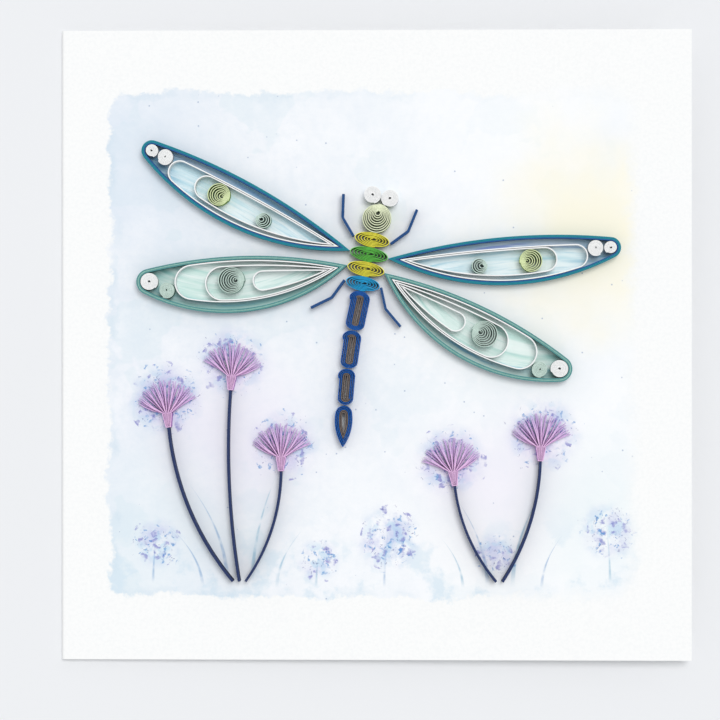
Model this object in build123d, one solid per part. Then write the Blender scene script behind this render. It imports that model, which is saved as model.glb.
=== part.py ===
from build123d import *

import os
from math import atan2, cos, degrees, radians, sin, sqrt

# A greeting card folded once from a sheet, with a quilled dragonfly and fringed flowers on its front.
# Millimetres, +Z up. The closed card lies on its back panel, with the fold on the left (-X) and the
# front face up. The origin is in the middle of the underside.

# Card sheet
CARD_WIDTH = 152.4
CARD_HEIGHT = 152.4
CARD_THICKNESS = 0.36
FOLD_RADIUS = 0.4  # inside of the crease
SPRING_ANGLE = 1.2  # degrees that the front panel springs open by itself

# Quilling paper
STRIP_WIDTH = 3.0  # how far a strip stands off the card
PLY = 0.3
GLUE_GAP = 0.1  # between neighbouring strips

# Straight runs that stand for a bend, few enough to keep the facets light
HALF_TURN_RUNS = 7  # in half a turn of an open coil
WING_ARC_RUNS = 12  # along either arc of a wing loop
WING_TIP_RUNS = 8  # round the end of a wing loop
STEM_RUNS = 8
TIGHT_COIL_SIDES = 18

# Coils
COIL_EYE = 0.5  # smallest radius of the innermost turn
LOOSE_PITCH = 1.15  # step between turns on the loose side of an eccentric coil
OVAL_PITCH = 0.6  # step between turns across an oval or flat coil
NEEDLE_SLOT_LENGTH = 0.9  # left by the quilling needle in a tight coil
NEEDLE_SLOT_WIDTH = 0.24

# Dragonfly on the card
FIGURE_X = -2.0
FIGURE_Y = 20.0
FIGURE_TURN = -12.0  # degrees

# Wings
RIM_PLIES = 3
FOREWING_LENGTH = 56.0
FOREWING_TAPER = 5.2  # from the tip to where the two edges would meet
FOREWING_LEAD_BULGE = 3.2
FOREWING_TRAIL_BULGE = 8.4
FOREWING_ANGLE = 16.0
HINDWING_LENGTH = 51.0
HINDWING_TAPER = 4.4
HINDWING_LEAD_BULGE = 3.6
HINDWING_TRAIL_BULGE = 10.0
HINDWING_ANGLE = -15.0
INNER_TIP_COIL_RADIUS = 1.9
ROUND_COIL_RADIUS = 3.2  # in the hindwing; the forewing's fills the width of its short loop
ROOT_COIL_RADIUS = 1.9
LONG_LOOP_SLACK = 1.6  # that the middle of a loop stands off the strip around it, on its free side
SHORT_LOOP_SLACK = 0.8
PETAL_LOOP_SLACK = 1.1

# Places inside a wing, as shares of its length from the root
FOREWING_SHORT_LOOP_SHARE = 0.725  # tip of the loop
FOREWING_ROUND_COIL_SHARE = 0.66  # far end of the coil
FOREWING_ROOT_COIL_SHARE = 0.39  # middle of the coil
HINDWING_SHORT_LOOP_SHARE = 0.675
HINDWING_ROUND_COIL_SHARE = 0.55  # middle of the coil
HINDWING_PETAL_LOOP_SHARE = 0.45  # tip of the loop

# Thorax, from the tail end to the head end
THORAX_DEPTH = 3.5
THORAX_WIDTHS = {"blue": 8.2, "rear_yellow": 9.0, "green": 9.2, "front_yellow": 8.4}

# Head and eyes
HEAD_RADIUS = 3.5
EYE_RADIUS = 2.1

# Tail
TAIL_WIDTHS = [4.9, 4.5, 4.1]
TAIL_LENGTHS = [9.6, 9.2, 8.8]
TAIL_BEND = 3.5  # degrees from one coil to the next
TAIL_END_DEPTH = 1.7  # of the rounding at either end of a coil
TAIL_TIP_LENGTH = 10.0
TAIL_TIP_TAPER = 3.2
TAIL_TIP_BULGE = 2.1

# Legs
LEG_PLIES = 2
LEG_UPPER = 5.2
LEG_LOWER = 5.6
KNEE_RADIUS = 1.0
FRONT_LEG_ANGLE = 48.0
FRONT_LEG_KNEE = 32.0
REAR_LEG_ANGLE = -66.0
REAR_LEG_KNEE = 28.0

# Flowers: foot of the stem and place of the bloom above it, as shares of the card from its middle
STEM_FOOT_SHARE = -0.374
STEM_PLIES = 2
FLOWER_SHARES = [
    {"foot": -0.226, "x": -0.328, "y": -0.131, "bow": 0.020},
    {"foot": -0.216, "x": -0.230, "y": -0.072, "bow": 0.009},
    {"foot": -0.206, "x": -0.150, "y": -0.200, "bow": -0.014},
    {"foot": 0.190, "x": 0.125, "y": -0.223, "bow": 0.012},
    {"foot": 0.200, "x": 0.260, "y": -0.184, "bow": -0.014},
]
CUP_LENGTH = 3.4
CUP_FOOT_WIDTH = 1.3
CUP_MOUTH_WIDTH = 2.4
FRINGE_REACH = 8.2  # of a finger, from the middle of the cup's mouth
FRINGE_SPREAD = 128.0  # degrees across the whole fan
FRINGE_FINGERS = 15
FINGER_WIDTH = 0.55

RIM = RIM_PLIES * PLY
LEG = LEG_PLIES * PLY
STEM = STEM_PLIES * PLY


def unit(angle):
    """Unit vector at an angle in degrees from +X."""
    return Vector(cos(radians(angle)), sin(radians(angle)))


def bend(centre, start, end, runs):
    """Points that divide the arc about a centre, from one point on it to another, into straight runs."""
    spoke = start - centre
    first = degrees(atan2(spoke.Y, spoke.X))
    last = degrees(atan2(end.Y - centre.Y, end.X - centre.X))
    return [centre + unit(first + (last - first) * run / runs) * spoke.length for run in range(runs + 1)]


def outline(points):
    """The face inside a closed outline."""
    return make_face(Polyline(points, close=True))


def stand_up(face, height=STRIP_WIDTH):
    """A strip's section raised to the strip's width."""
    return extrude(face, amount=height)


class Almond:
    """The space between two arcs that spring from one point, the root, and meet again further along X.

    The arcs bulge towards +Y (leading) and -Y (trailing) of their common chord. Every loop and coil of
    a wing fits in an almond that is set in from the one around it.
    """

    def __init__(self, root, span, lead_bulge, trail_bulge):
        self.root = root
        self.half = span / 2
        self.lead_bulge = lead_bulge
        self.trail_bulge = trail_bulge
        self.lead = (self.half**2 + lead_bulge**2) / (2 * lead_bulge)
        self.trail = (self.half**2 + trail_bulge**2) / (2 * trail_bulge)
        self.lead_centre = root + Vector(self.half, lead_bulge - self.lead)
        self.trail_centre = root + Vector(self.half, self.trail - trail_bulge)
        self.skew = (self.lead - self.trail) / (self.trail_centre.Y - self.lead_centre.Y)

    def set_in(self, inset):
        """The almond between the same arcs, both set in."""
        drop = self.skew * inset
        half = sqrt((self.lead - inset) ** 2 - (self.lead - self.lead_bulge - drop) ** 2)
        root = self.root + Vector(self.half - half, -drop)
        return Almond(root, 2 * half, self.lead_bulge - inset + drop, self.trail_bulge - inset - drop)

    def eased(self, slack, leading):
        """The almond with one arc made flatter, by the slack in its middle."""
        lead_bulge = self.lead_bulge - (slack if leading else 0)
        trail_bulge = self.trail_bulge - (0 if leading else slack)
        return Almond(self.root, 2 * self.half, lead_bulge, trail_bulge)

    def circle(self, reach):
        """The circle that touches both arcs and ends at the given reach."""
        ahead = reach - self.root.X - self.half
        slope = self.lead + self.skew * (self.lead_bulge - self.lead) - ahead
        radius = (self.half**2 - ahead**2) / (
            slope + sqrt(slope**2 - self.skew**2 * (ahead**2 - self.half**2))
        )
        return Vector(reach - radius, self.root.Y - self.skew * radius), radius

    def loop(self, reach):
        """The outline of a loop that follows both arcs and turns round at the given reach."""
        centre, _ = self.circle(reach)
        lead_end = self.lead_centre + (centre - self.lead_centre).normalized() * self.lead
        trail_end = self.trail_centre + (centre - self.trail_centre).normalized() * self.trail
        leading = bend(self.lead_centre, self.root, lead_end, WING_ARC_RUNS)
        tip = bend(centre, lead_end, trail_end, WING_TIP_RUNS)
        trailing = bend(self.trail_centre, trail_end, self.root, WING_ARC_RUNS)
        return outline(leading[:-1] + tip[:-1] + trailing[:-1])

    def leaning(self, along, radius, leading):
        """Middle of a circle that leans on one arc, so far along from the wing's root."""
        centre = self.lead_centre if leading else self.trail_centre
        arc = self.lead if leading else self.trail
        away = sqrt((arc - radius) ** 2 - (along - centre.X) ** 2)
        return Vector(along, centre.Y + (away if leading else -away))

    def ring(self, reach, wall):
        """The section of a strip bent into that loop."""
        return self.loop(reach) - self.set_in(wall).loop(reach - wall)


def coil(outer_radius, tight_pitch, loose_pitch, stretch=0.0, pinch=1.0):
    """The section of a strip that is wound inwards in half turns.

    The turns step in by tight_pitch on the -X side and by loose_pitch on the +X side, so different
    pitches put the eye off centre. stretch moves the two halves apart along Y, with straight runs
    between them, and pinch makes each half turn so many times longer along Y.
    """
    near = PLY / 2 - outer_radius
    far = outer_radius - PLY / 2
    outside = []
    inside = []
    upper = True
    while far - near > 2 * COIL_EYE:
        radius = (far - near) / 2
        centre = Vector((near + far) / 2, stretch / 2 if upper else -stretch / 2)
        first = 1 if outside and not stretch else 0
        for run in range(first, HALF_TURN_RUNS + 1):
            turned = 180 * run / HALF_TURN_RUNS
            spoke = unit(180 - turned if upper else -turned)
            middle = centre + Vector(spoke.X, spoke.Y * pinch) * radius
            across = Vector(spoke.X * pinch, spoke.Y).normalized() * (PLY / 2)
            outside.append(middle + across)
            inside.append(middle - across)
        near += tight_pitch if upper else 0
        far -= 0 if upper else loose_pitch
        upper = not upper
    return outline(outside + inside[::-1])


def round_coil(radius):
    """An eccentric coil, its turns pinched together on one side."""
    return coil(radius, PLY + GLUE_GAP, LOOSE_PITCH)


def oval_coil(width, length):
    """A coil pinched into an oval, longer along Y."""
    return coil(width / 2, OVAL_PITCH, OVAL_PITCH, pinch=(length - PLY) / (width - PLY))


def flat_coil(width, length):
    """A coil wound on a flat core along Y, with blunt ends."""
    rounding = TAIL_END_DEPTH - PLY / 2
    stretch = length - 2 * TAIL_END_DEPTH
    return coil(width / 2, OVAL_PITCH, OVAL_PITCH, stretch, pinch=2 * rounding / (width - PLY))


def tight_coil(radius):
    """A coil wound tight on the needle, with the needle's slot in its middle."""
    return RegularPolygon(radius, TIGHT_COIL_SIDES) - Rectangle(NEEDLE_SLOT_LENGTH, NEEDLE_SLOT_WIDTH)


def at(point, turn=0.0):
    """Place and turn on the card's front."""
    return Location((point.X, point.Y, 0), (0, 0, turn))


def card():
    """The folded sheet, from its section across the fold."""
    middle = FOLD_RADIUS + CARD_THICKNESS / 2
    pivot = Vector(-CARD_WIDTH / 2 + FOLD_RADIUS + CARD_THICKNESS, FOLD_RADIUS + CARD_THICKNESS)
    run = CARD_WIDTH / 2 - pivot.X
    rise = 90 + SPRING_ANGLE
    low = pivot - Vector(0, middle)
    high = pivot + unit(rise) * middle
    back = Line(low + Vector(run, 0), low)
    crease = ThreePointArc(low, pivot + unit(180 + SPRING_ANGLE / 2) * middle, high)
    front = Line(high, high + unit(SPRING_ANGLE) * run)
    section = trace([back, crease, front], CARD_THICKNESS)
    return extrude(Plane.XZ * section, amount=CARD_HEIGHT / 2, both=True)


def front_face():
    """Location of the middle of the front panel's outer face."""
    outer = FOLD_RADIUS + CARD_THICKNESS
    pivot = Vector(-CARD_WIDTH / 2 + outer, 0, outer)
    across = Vector(cos(radians(SPRING_ANGLE)), 0, sin(radians(SPRING_ANGLE)))
    out = Vector(-across.Z, 0, across.X)
    middle = pivot + out * outer + across * (CARD_WIDTH / 2 - outer)
    return Plane(origin=middle, x_dir=across, z_dir=out).location


def wing_loops(almond, length, short_reach, forward):
    """Sections of the strips that both wings have, and the space inside the short loop.

    Two tight coils fill the tip, the second against one edge of the wing. The long loop stands off that
    edge in its middle, and the short loop stands off the other side of the long one.
    """
    inside = almond.set_in(RIM + GLUE_GAP)
    tip, tip_radius = inside.circle(length - RIM - GLUE_GAP)
    along = tip.X - tip_radius - GLUE_GAP - INNER_TIP_COIL_RADIUS
    inner_tip = inside.leaning(along, INNER_TIP_COIL_RADIUS, leading=forward)
    long_reach = along - INNER_TIP_COIL_RADIUS - GLUE_GAP
    long_loop = inside.eased(LONG_LOOP_SLACK, leading=forward)
    short_loop = long_loop.set_in(PLY + GLUE_GAP).eased(SHORT_LOOP_SLACK, leading=not forward)
    sections = {
        "rim": almond.ring(length, RIM),
        "tip_coil": at(tip) * tight_coil(tip_radius),
        "inner_tip_coil": at(inner_tip) * tight_coil(INNER_TIP_COIL_RADIUS),
        "long_loop": long_loop.ring(long_reach, PLY),
        "short_loop": short_loop.ring(short_reach, PLY),
    }
    return sections, short_loop.set_in(PLY + GLUE_GAP)


def forewing():
    """Sections of the right forewing's strips, with the root at the origin."""
    length = FOREWING_LENGTH
    almond = Almond(Vector(), length + FOREWING_TAPER, FOREWING_LEAD_BULGE, FOREWING_TRAIL_BULGE)
    sections, inside = wing_loops(almond, length, length * FOREWING_SHORT_LOOP_SHARE, forward=True)
    middle, radius = inside.circle(length * FOREWING_ROUND_COIL_SHARE)
    sections["round_coil"] = at(middle) * round_coil(radius)
    middle = inside.leaning(length * FOREWING_ROOT_COIL_SHARE, ROOT_COIL_RADIUS, leading=False)
    sections["root_coil"] = at(middle, 180) * round_coil(ROOT_COIL_RADIUS)
    return sections


def hindwing():
    """Sections of the right hindwing's strips, with the root at the origin."""
    length = HINDWING_LENGTH
    almond = Almond(Vector(), length + HINDWING_TAPER, HINDWING_LEAD_BULGE, HINDWING_TRAIL_BULGE)
    sections, inside = wing_loops(almond, length, length * HINDWING_SHORT_LOOP_SHARE, forward=False)
    middle = inside.leaning(length * HINDWING_ROUND_COIL_SHARE, ROUND_COIL_RADIUS, leading=True)
    sections["round_coil"] = at(middle) * round_coil(ROUND_COIL_RADIUS)
    petal = inside.eased(PETAL_LOOP_SLACK, leading=True).eased(PETAL_LOOP_SLACK, leading=False)
    sections["petal_loop"] = petal.ring(length * HINDWING_PETAL_LOOP_SHARE, PLY)
    return sections


def leg(angle, knee):
    """A bent strip that starts at the origin."""
    joint = unit(angle) * LEG_UPPER
    foot = joint + unit(angle + knee) * LEG_LOWER
    return trace(FilletPolyline((0, 0), joint, foot, radius=KNEE_RADIUS), LEG)


def tail_tip():
    """A teardrop coil: the outer turn is pinched to a point at the origin, the rest is wound inside."""
    almond = Almond(Vector(), TAIL_TIP_LENGTH + TAIL_TIP_TAPER, TAIL_TIP_BULGE, TAIL_TIP_BULGE)
    centre, radius = almond.circle(TAIL_TIP_LENGTH)
    wound = at(centre) * coil(radius, OVAL_PITCH, OVAL_PITCH)
    return almond.ring(TAIL_TIP_LENGTH, PLY) + wound


def dragonfly():
    """Strips of the dragonfly, head towards +Y, with the middle of the thorax at the origin."""
    strips = {}
    pitch = THORAX_DEPTH + GLUE_GAP
    rows = {}
    for row, (name, width) in enumerate(THORAX_WIDTHS.items()):
        rows[name] = Vector(width / 2 + GLUE_GAP, (row - (len(THORAX_WIDTHS) - 1) / 2) * pitch)
        section = at(Vector(0, rows[name].Y), 90) * oval_coil(THORAX_DEPTH, width)
        strips[f"thorax_{name}_coil"] = stand_up(section)

    neck = rows["front_yellow"].Y + THORAX_DEPTH / 2 + GLUE_GAP
    head = Vector(0, neck + HEAD_RADIUS)
    strips["head_coil"] = stand_up(at(head, -90) * round_coil(HEAD_RADIUS))

    aside = EYE_RADIUS + GLUE_GAP / 2
    ahead = sqrt((HEAD_RADIUS + GLUE_GAP + EYE_RADIUS) ** 2 - aside**2)
    hip = Vector(LEG / 2, 0)
    right = {
        "eye_coil": at(head + Vector(aside, ahead)) * tight_coil(EYE_RADIUS),
        "front_leg": at(rows["front_yellow"] + hip) * leg(FRONT_LEG_ANGLE, FRONT_LEG_KNEE),
        "rear_leg": at(rows["blue"] + hip) * leg(REAR_LEG_ANGLE, REAR_LEG_KNEE),
    }
    for name, section in forewing().items():
        right[f"forewing_{name}"] = at(rows["green"], FOREWING_ANGLE) * section
    for name, section in hindwing().items():
        right[f"hindwing_{name}"] = at(rows["rear_yellow"], HINDWING_ANGLE) * section
    for name, section in right.items():
        strip = stand_up(section)
        strips[f"right_{name}"] = strip
        strips[f"left_{name}"] = mirror(strip, about=Plane.YZ)

    heading = -90.0
    end = Vector(0, rows["blue"].Y - THORAX_DEPTH / 2 - GLUE_GAP)
    for number, (width, length) in enumerate(zip(TAIL_WIDTHS, TAIL_LENGTHS), start=1):
        middle = end + unit(heading) * (length / 2)
        strips[f"tail_coil_{number}"] = stand_up(at(middle, heading + 90) * flat_coil(width, length))
        end = middle + unit(heading) * (length / 2)
        heading += TAIL_BEND
        end += unit(heading) * GLUE_GAP
    point = end + unit(heading) * TAIL_TIP_LENGTH
    strips["tail_tip_coil"] = stand_up(at(point, heading + 180) * tail_tip())
    return strips


def bloom():
    """A fringed strip rolled into a cup, its fingers fanned in two layers, with the foot at the origin."""
    mouth = Vector(0, CUP_LENGTH)
    foot_side = Vector(CUP_FOOT_WIDTH / 2, 0)
    mouth_side = Vector(CUP_MOUTH_WIDTH / 2, 0)
    cup = outline([-foot_side, foot_side, mouth + mouth_side, mouth - mouth_side])
    layers = [cup, cup]
    for finger in range(FRINGE_FINGERS):
        turn = FRINGE_SPREAD * (finger / (FRINGE_FINGERS - 1) - 0.5)
        blade = at(mouth, turn) * Rectangle(FINGER_WIDTH, FRINGE_REACH, align=(Align.CENTER, Align.MIN))
        layers[finger % 2] += blade
    layer = STRIP_WIDTH / 2
    return stand_up(layers[0], layer) + Pos(0, 0, layer) * stand_up(layers[1], layer)


def stem(line):
    """The section of a strip on edge along a bowed line."""
    left = []
    right = []
    for run in range(STEM_RUNS + 1):
        along = line % (run / STEM_RUNS)
        across = Vector(-along.Y, along.X) * (STEM / 2)
        left.append(line @ (run / STEM_RUNS) + across)
        right.append(line @ (run / STEM_RUNS) - across)
    return outline(left + right[::-1])


def flowers():
    """Stems on edge, each with a bloom in line with its upper end."""
    strips = {}
    for number, share in enumerate(FLOWER_SHARES, start=1):
        foot = (share["foot"] * CARD_WIDTH, STEM_FOOT_SHARE * CARD_HEIGHT)
        top = (share["x"] * CARD_WIDTH, share["y"] * CARD_HEIGHT)
        line = SagittaArc(foot, top, share["bow"] * CARD_HEIGHT)
        along = line % 1
        turn = degrees(atan2(along.Y, along.X)) - 90
        strips[f"stem_{number}"] = stand_up(stem(line))
        strips[f"bloom_{number}"] = at(line @ 1 + along * GLUE_GAP, turn) * bloom()
    return strips


def main():
    """Write each piece to its own file."""
    os.makedirs("parts", exist_ok=True)
    front = front_face()
    figure = front * Location((FIGURE_X, FIGURE_Y, 0), (0, 0, FIGURE_TURN))
    pieces = {"card": card()}
    for name, strip in dragonfly().items():
        pieces[name] = figure * strip
    for name, strip in flowers().items():
        pieces[name] = front * strip
    for name, piece in pieces.items():
        export_step(piece, f"parts/{name}.step")


main()
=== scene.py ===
"""Looks of a folded greeting card with a quilled dragonfly and fringed flowers on its front.

Sizes in the classes are millimetres on the card's front face. A finished piece is in metres, in the
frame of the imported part.
"""

import logging
import math
import random
from dataclasses import dataclass, field
from enum import Enum
from typing import Optional, Union

import bpy
from mathutils import Matrix, Vector

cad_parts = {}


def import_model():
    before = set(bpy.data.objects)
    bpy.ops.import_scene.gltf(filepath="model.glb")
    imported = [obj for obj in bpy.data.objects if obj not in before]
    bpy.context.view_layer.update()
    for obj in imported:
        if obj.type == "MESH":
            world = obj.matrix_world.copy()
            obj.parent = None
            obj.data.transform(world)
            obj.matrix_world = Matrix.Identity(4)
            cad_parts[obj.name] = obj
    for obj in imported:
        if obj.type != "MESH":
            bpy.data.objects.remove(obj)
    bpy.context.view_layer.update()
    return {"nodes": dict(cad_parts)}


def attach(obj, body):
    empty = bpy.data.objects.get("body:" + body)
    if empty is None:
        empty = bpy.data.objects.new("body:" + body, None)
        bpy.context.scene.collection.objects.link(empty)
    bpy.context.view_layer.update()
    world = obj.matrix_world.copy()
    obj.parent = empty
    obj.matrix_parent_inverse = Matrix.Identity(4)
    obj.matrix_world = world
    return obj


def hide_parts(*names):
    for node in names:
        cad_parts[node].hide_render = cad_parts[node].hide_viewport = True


LOG = logging.getLogger("quilled_card")
MM = 0.001
STRIP_WIDTH = 3.0
GLUE_GAP = 0.1
SEAM = 0.002  # points of a strip that lie closer than this are one
SMOOTH_BEND = 38.0  # degrees; a sharper bend keeps its crease
PAPER_SHEEN = 0.25
TOOTH_STRENGTH = 0.6

Value = Union[float, tuple, bpy.types.NodeSocket]


class Paper(Enum):
    """Papers of the card, by the names of their slots."""

    WHITE = "white_paper"
    TEAL = "teal_paper"
    SAGE = "sage_paper"
    PALE_GREEN = "pale_green_paper"
    GREY_GREEN = "grey_green_paper"
    COBALT = "cobalt_paper"
    SKY_BLUE = "sky_blue_paper"
    YELLOW = "yellow_paper"
    GREEN = "green_paper"
    NAVY = "navy_paper"
    LILAC = "lilac_paper"


class Edge(Enum):
    """The two edges of a wing."""

    LEADING = 1
    TRAILING = -1


def ink(code: str) -> tuple[float, float, float, float]:
    """Linear colour of a hex code.

    Args:
        code: Red, green and blue as they are seen, two digits each.

    Returns:
        The colour as a shader takes it.
    """
    shares = [int(code[place : place + 2], 16) / 255 for place in (0, 2, 4)]
    linear = [share / 12.92 if share <= 0.04045 else ((share + 0.055) / 1.055) ** 2.4 for share in shares]
    return (*linear, 1.0)


def bearing(start: Vector, end: Vector) -> float:
    """Direction from one point to another, in degrees from +X."""
    return math.degrees(math.atan2(end.y - start.y, end.x - start.x))


def towards(angle: float) -> Vector:
    """Unit vector at an angle in degrees from +X."""
    return Vector((math.cos(math.radians(angle)), math.sin(math.radians(angle))))


def at(point: Vector, turn: float = 0.0) -> Matrix:
    """Place and turn on the card's front."""
    return Matrix.Translation((point.x, point.y, 0.0)) @ Matrix.Rotation(math.radians(turn), 4, "Z")


def pick(*pieces: bpy.types.Object) -> None:
    """Select these pieces alone, the first one active.

    Args:
        pieces: The pieces.
    """
    bpy.ops.object.select_all(action="DESELECT")
    for piece in pieces:
        piece.select_set(True)
    bpy.context.view_layer.objects.active = pieces[0]


def face_outwards(piece: bpy.types.Object) -> None:
    """Turn all faces of a closed piece outwards and smooth its gentle bends.

    Args:
        piece: The piece.
    """
    pick(piece)
    bpy.ops.object.mode_set(mode="EDIT")
    bpy.ops.mesh.select_all(action="SELECT")
    bpy.ops.mesh.normals_make_consistent(inside=False)
    bpy.ops.object.mode_set(mode="OBJECT")
    bpy.ops.object.shade_smooth_by_angle(angle=math.radians(SMOOTH_BEND))


def join(pieces: list[bpy.types.Object]) -> bpy.types.Object:
    """Join pieces into the first one.

    Args:
        pieces: The pieces.

    Returns:
        The first piece, with the others in it.
    """
    pick(*pieces)
    bpy.ops.object.join()
    return pieces[0]


class NodeDesk:
    """Lays out the nodes of one material, with places in millimetres."""

    def __init__(self, name: str) -> None:
        """Start a material with its shader, its place and its normal.

        Args:
            name: Name of the material.
        """
        self.material = bpy.data.materials.new(name)
        self.material.use_nodes = True
        self.nodes = self.material.node_tree.nodes
        self.links = self.material.node_tree.links
        self.shader = self.nodes["Principled BSDF"]
        metres = self.nodes.new("ShaderNodeTexCoord").outputs["Object"]
        self.place = self.vector("SCALE", metres, scale=1.0 / MM)
        self.normal = self.nodes.new("ShaderNodeNewGeometry").outputs["Normal"]

    def feed(self, socket: bpy.types.NodeSocket, value: Value) -> None:
        """Link a socket, or set its plain value.

        Args:
            socket: The socket that takes the value.
            value: A plain value, or the socket that gives it.
        """
        if isinstance(value, bpy.types.NodeSocket):
            self.links.new(value, socket)
        else:
            socket.default_value = value

    def number(self, operation: str, *values: Value) -> bpy.types.NodeSocket:
        """Result of a sum on numbers.

        Args:
            operation: Blender's name of the sum.
            values: The numbers, in the sum's order.

        Returns:
            The result.
        """
        node = self.nodes.new("ShaderNodeMath")
        node.operation = operation
        for socket, value in zip(node.inputs, values):
            self.feed(socket, value)
        return node.outputs["Value"]

    def product(self, *values: Value) -> bpy.types.NodeSocket:
        """All the numbers multiplied together.

        Args:
            values: The numbers.

        Returns:
            Their product.
        """
        result = values[0]
        for value in values[1:]:
            result = self.number("MULTIPLY", result, value)
        return result

    def vector(
        self, operation: str, first: Value, second: Optional[Value] = None, scale: Optional[Value] = None
    ) -> bpy.types.NodeSocket:
        """Result of a sum on vectors.

        Args:
            operation: Blender's name of the sum.
            first: First vector.
            second: Second vector, where the sum takes two.
            scale: Number, where the sum takes one.

        Returns:
            The vector, or the number for a length or a dot product.
        """
        node = self.nodes.new("ShaderNodeVectorMath")
        node.operation = operation
        self.feed(node.inputs[0], first)
        if second is not None:
            self.feed(node.inputs[1], second)
        if scale is not None:
            self.feed(node.inputs["Scale"], scale)
        return node.outputs["Value" if operation in ("LENGTH", "DOT_PRODUCT") else "Vector"]

    def away(self, place: Value, point: Union[Vector, tuple[float, float]]) -> bpy.types.NodeSocket:
        """Distance of a place on the front from a point."""
        return self.vector("LENGTH", self.vector("SUBTRACT", place, (*point, 0.0)))

    def along(self, place: Value, direction: Vector) -> bpy.types.NodeSocket:
        """How far a place on the front lies in a direction."""
        return self.vector("DOT_PRODUCT", place, (*direction, 0.0))

    def parts(self, vector: Value) -> list[bpy.types.NodeSocket]:
        """The three numbers of a vector.

        Args:
            vector: The vector.

        Returns:
            Its X, Y and Z.
        """
        node = self.nodes.new("ShaderNodeSeparateXYZ")
        self.feed(node.inputs[0], vector)
        return list(node.outputs)

    def gather(self, *values: Value) -> bpy.types.NodeSocket:
        """A vector from two or three numbers.

        Args:
            values: Its X and Y, and its Z if it isn't 0.

        Returns:
            The vector.
        """
        node = self.nodes.new("ShaderNodeCombineXYZ")
        for socket, value in zip(node.inputs, values):
            self.feed(socket, value)
        return node.outputs[0]

    def soft_step(self, value: Value, low: Value, high: Value) -> bpy.types.NodeSocket:
        """0 below the low value, 1 above the high one, with a smooth rise between.

        Args:
            value: The value that is read.
            low: Where the rise begins.
            high: Where the rise ends.

        Returns:
            A share from 0 to 1.
        """
        node = self.nodes.new("ShaderNodeMapRange")
        node.interpolation_type = "SMOOTHSTEP"
        self.feed(node.inputs["Value"], value)
        self.feed(node.inputs["From Min"], low)
        self.feed(node.inputs["From Max"], high)
        return node.outputs["Result"]

    def soft_fall(self, value: Value, low: Value, high: Value) -> bpy.types.NodeSocket:
        """1 below the low value, 0 above the high one, with a smooth fall between."""
        return self.number("SUBTRACT", 1.0, self.soft_step(value, low, high))

    def noise(
        self, place: Value, scale: float, detail: float = 2.0, roughness: float = 0.5
    ) -> bpy.types.NodeSocket:
        """Soft noise, about 0.5 on the whole.

        Args:
            place: Where the noise is read.
            scale: Waves per millimetre.
            detail: How many finer waves are added.
            roughness: How strong the finer waves are.

        Returns:
            The noise's value.
        """
        node = self.nodes.new("ShaderNodeTexNoise")
        self.feed(node.inputs["Vector"], place)
        node.inputs["Scale"].default_value = scale
        node.inputs["Detail"].default_value = detail
        node.inputs["Roughness"].default_value = roughness
        return node.outputs[0]

    def cells(self, place: Value, scale: float) -> tuple[bpy.types.NodeSocket, bpy.types.NodeSocket]:
        """Scatter cells over the surface.

        Args:
            place: Where the cells are read.
            scale: Cells per millimetre.

        Returns:
            Distance to the middle of the nearest cell, in cells, and a number of that cell's own.
        """
        node = self.nodes.new("ShaderNodeTexVoronoi")
        self.feed(node.inputs["Vector"], place)
        node.inputs["Scale"].default_value = scale
        return node.outputs["Distance"], self.parts(node.outputs["Color"])[0]

    def tint(self, share: Value, first: Value, second: Value) -> bpy.types.NodeSocket:
        """The first colour, with a share of the second laid over it.

        Args:
            share: Share of the second colour.
            first: Colour below.
            second: Colour above.

        Returns:
            The mixed colour.
        """
        node = self.nodes.new("ShaderNodeMix")
        node.data_type = "RGBA"
        self.feed(node.inputs[0], share)
        self.feed(node.inputs[6], first)
        self.feed(node.inputs[7], second)
        return node.outputs[2]

    def finish(
        self, colour: Value, tooth: Value, roughness: tuple[float, float], relief: float
    ) -> bpy.types.Material:
        """Give the shader its colour, gloss and tooth.

        Args:
            colour: The surface's colour.
            tooth: Height of the paper's tooth, from 0 to 1.
            roughness: Roughness of the low and of the high places.
            relief: Depth of the tooth, in millimetres.

        Returns:
            The finished material.
        """
        self.feed(self.shader.inputs["Base Color"], colour)
        spread = self.nodes.new("ShaderNodeMapRange")
        self.feed(spread.inputs["Value"], tooth)
        spread.inputs["To Min"].default_value = roughness[0]
        spread.inputs["To Max"].default_value = roughness[1]
        self.feed(self.shader.inputs["Roughness"], spread.outputs["Result"])
        self.shader.inputs["Specular IOR Level"].default_value = PAPER_SHEEN
        bump = self.nodes.new("ShaderNodeBump")
        bump.inputs["Strength"].default_value = TOOTH_STRENGTH
        bump.inputs["Distance"].default_value = relief * MM
        self.feed(bump.inputs["Height"], tooth)
        self.feed(self.shader.inputs["Normal"], bump.outputs["Normal"])
        return self.material


@dataclass(frozen=True)
class Mottle:
    """Uneven patches: how fine their noise is, and the values between which they rise from bare to full."""

    scale: float
    low: float
    high: float
    detail: float = 3.0
    roughness: float = 0.5

    def wave(self, desk: NodeDesk, place: Value) -> bpy.types.NodeSocket:
        """The noise itself."""
        return desk.noise(place, self.scale, self.detail, self.roughness)

    def cover(self, desk: NodeDesk, place: Value) -> bpy.types.NodeSocket:
        """Share of the patches at each place."""
        return desk.soft_step(self.wave(desk, place), self.low, self.high)


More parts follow.
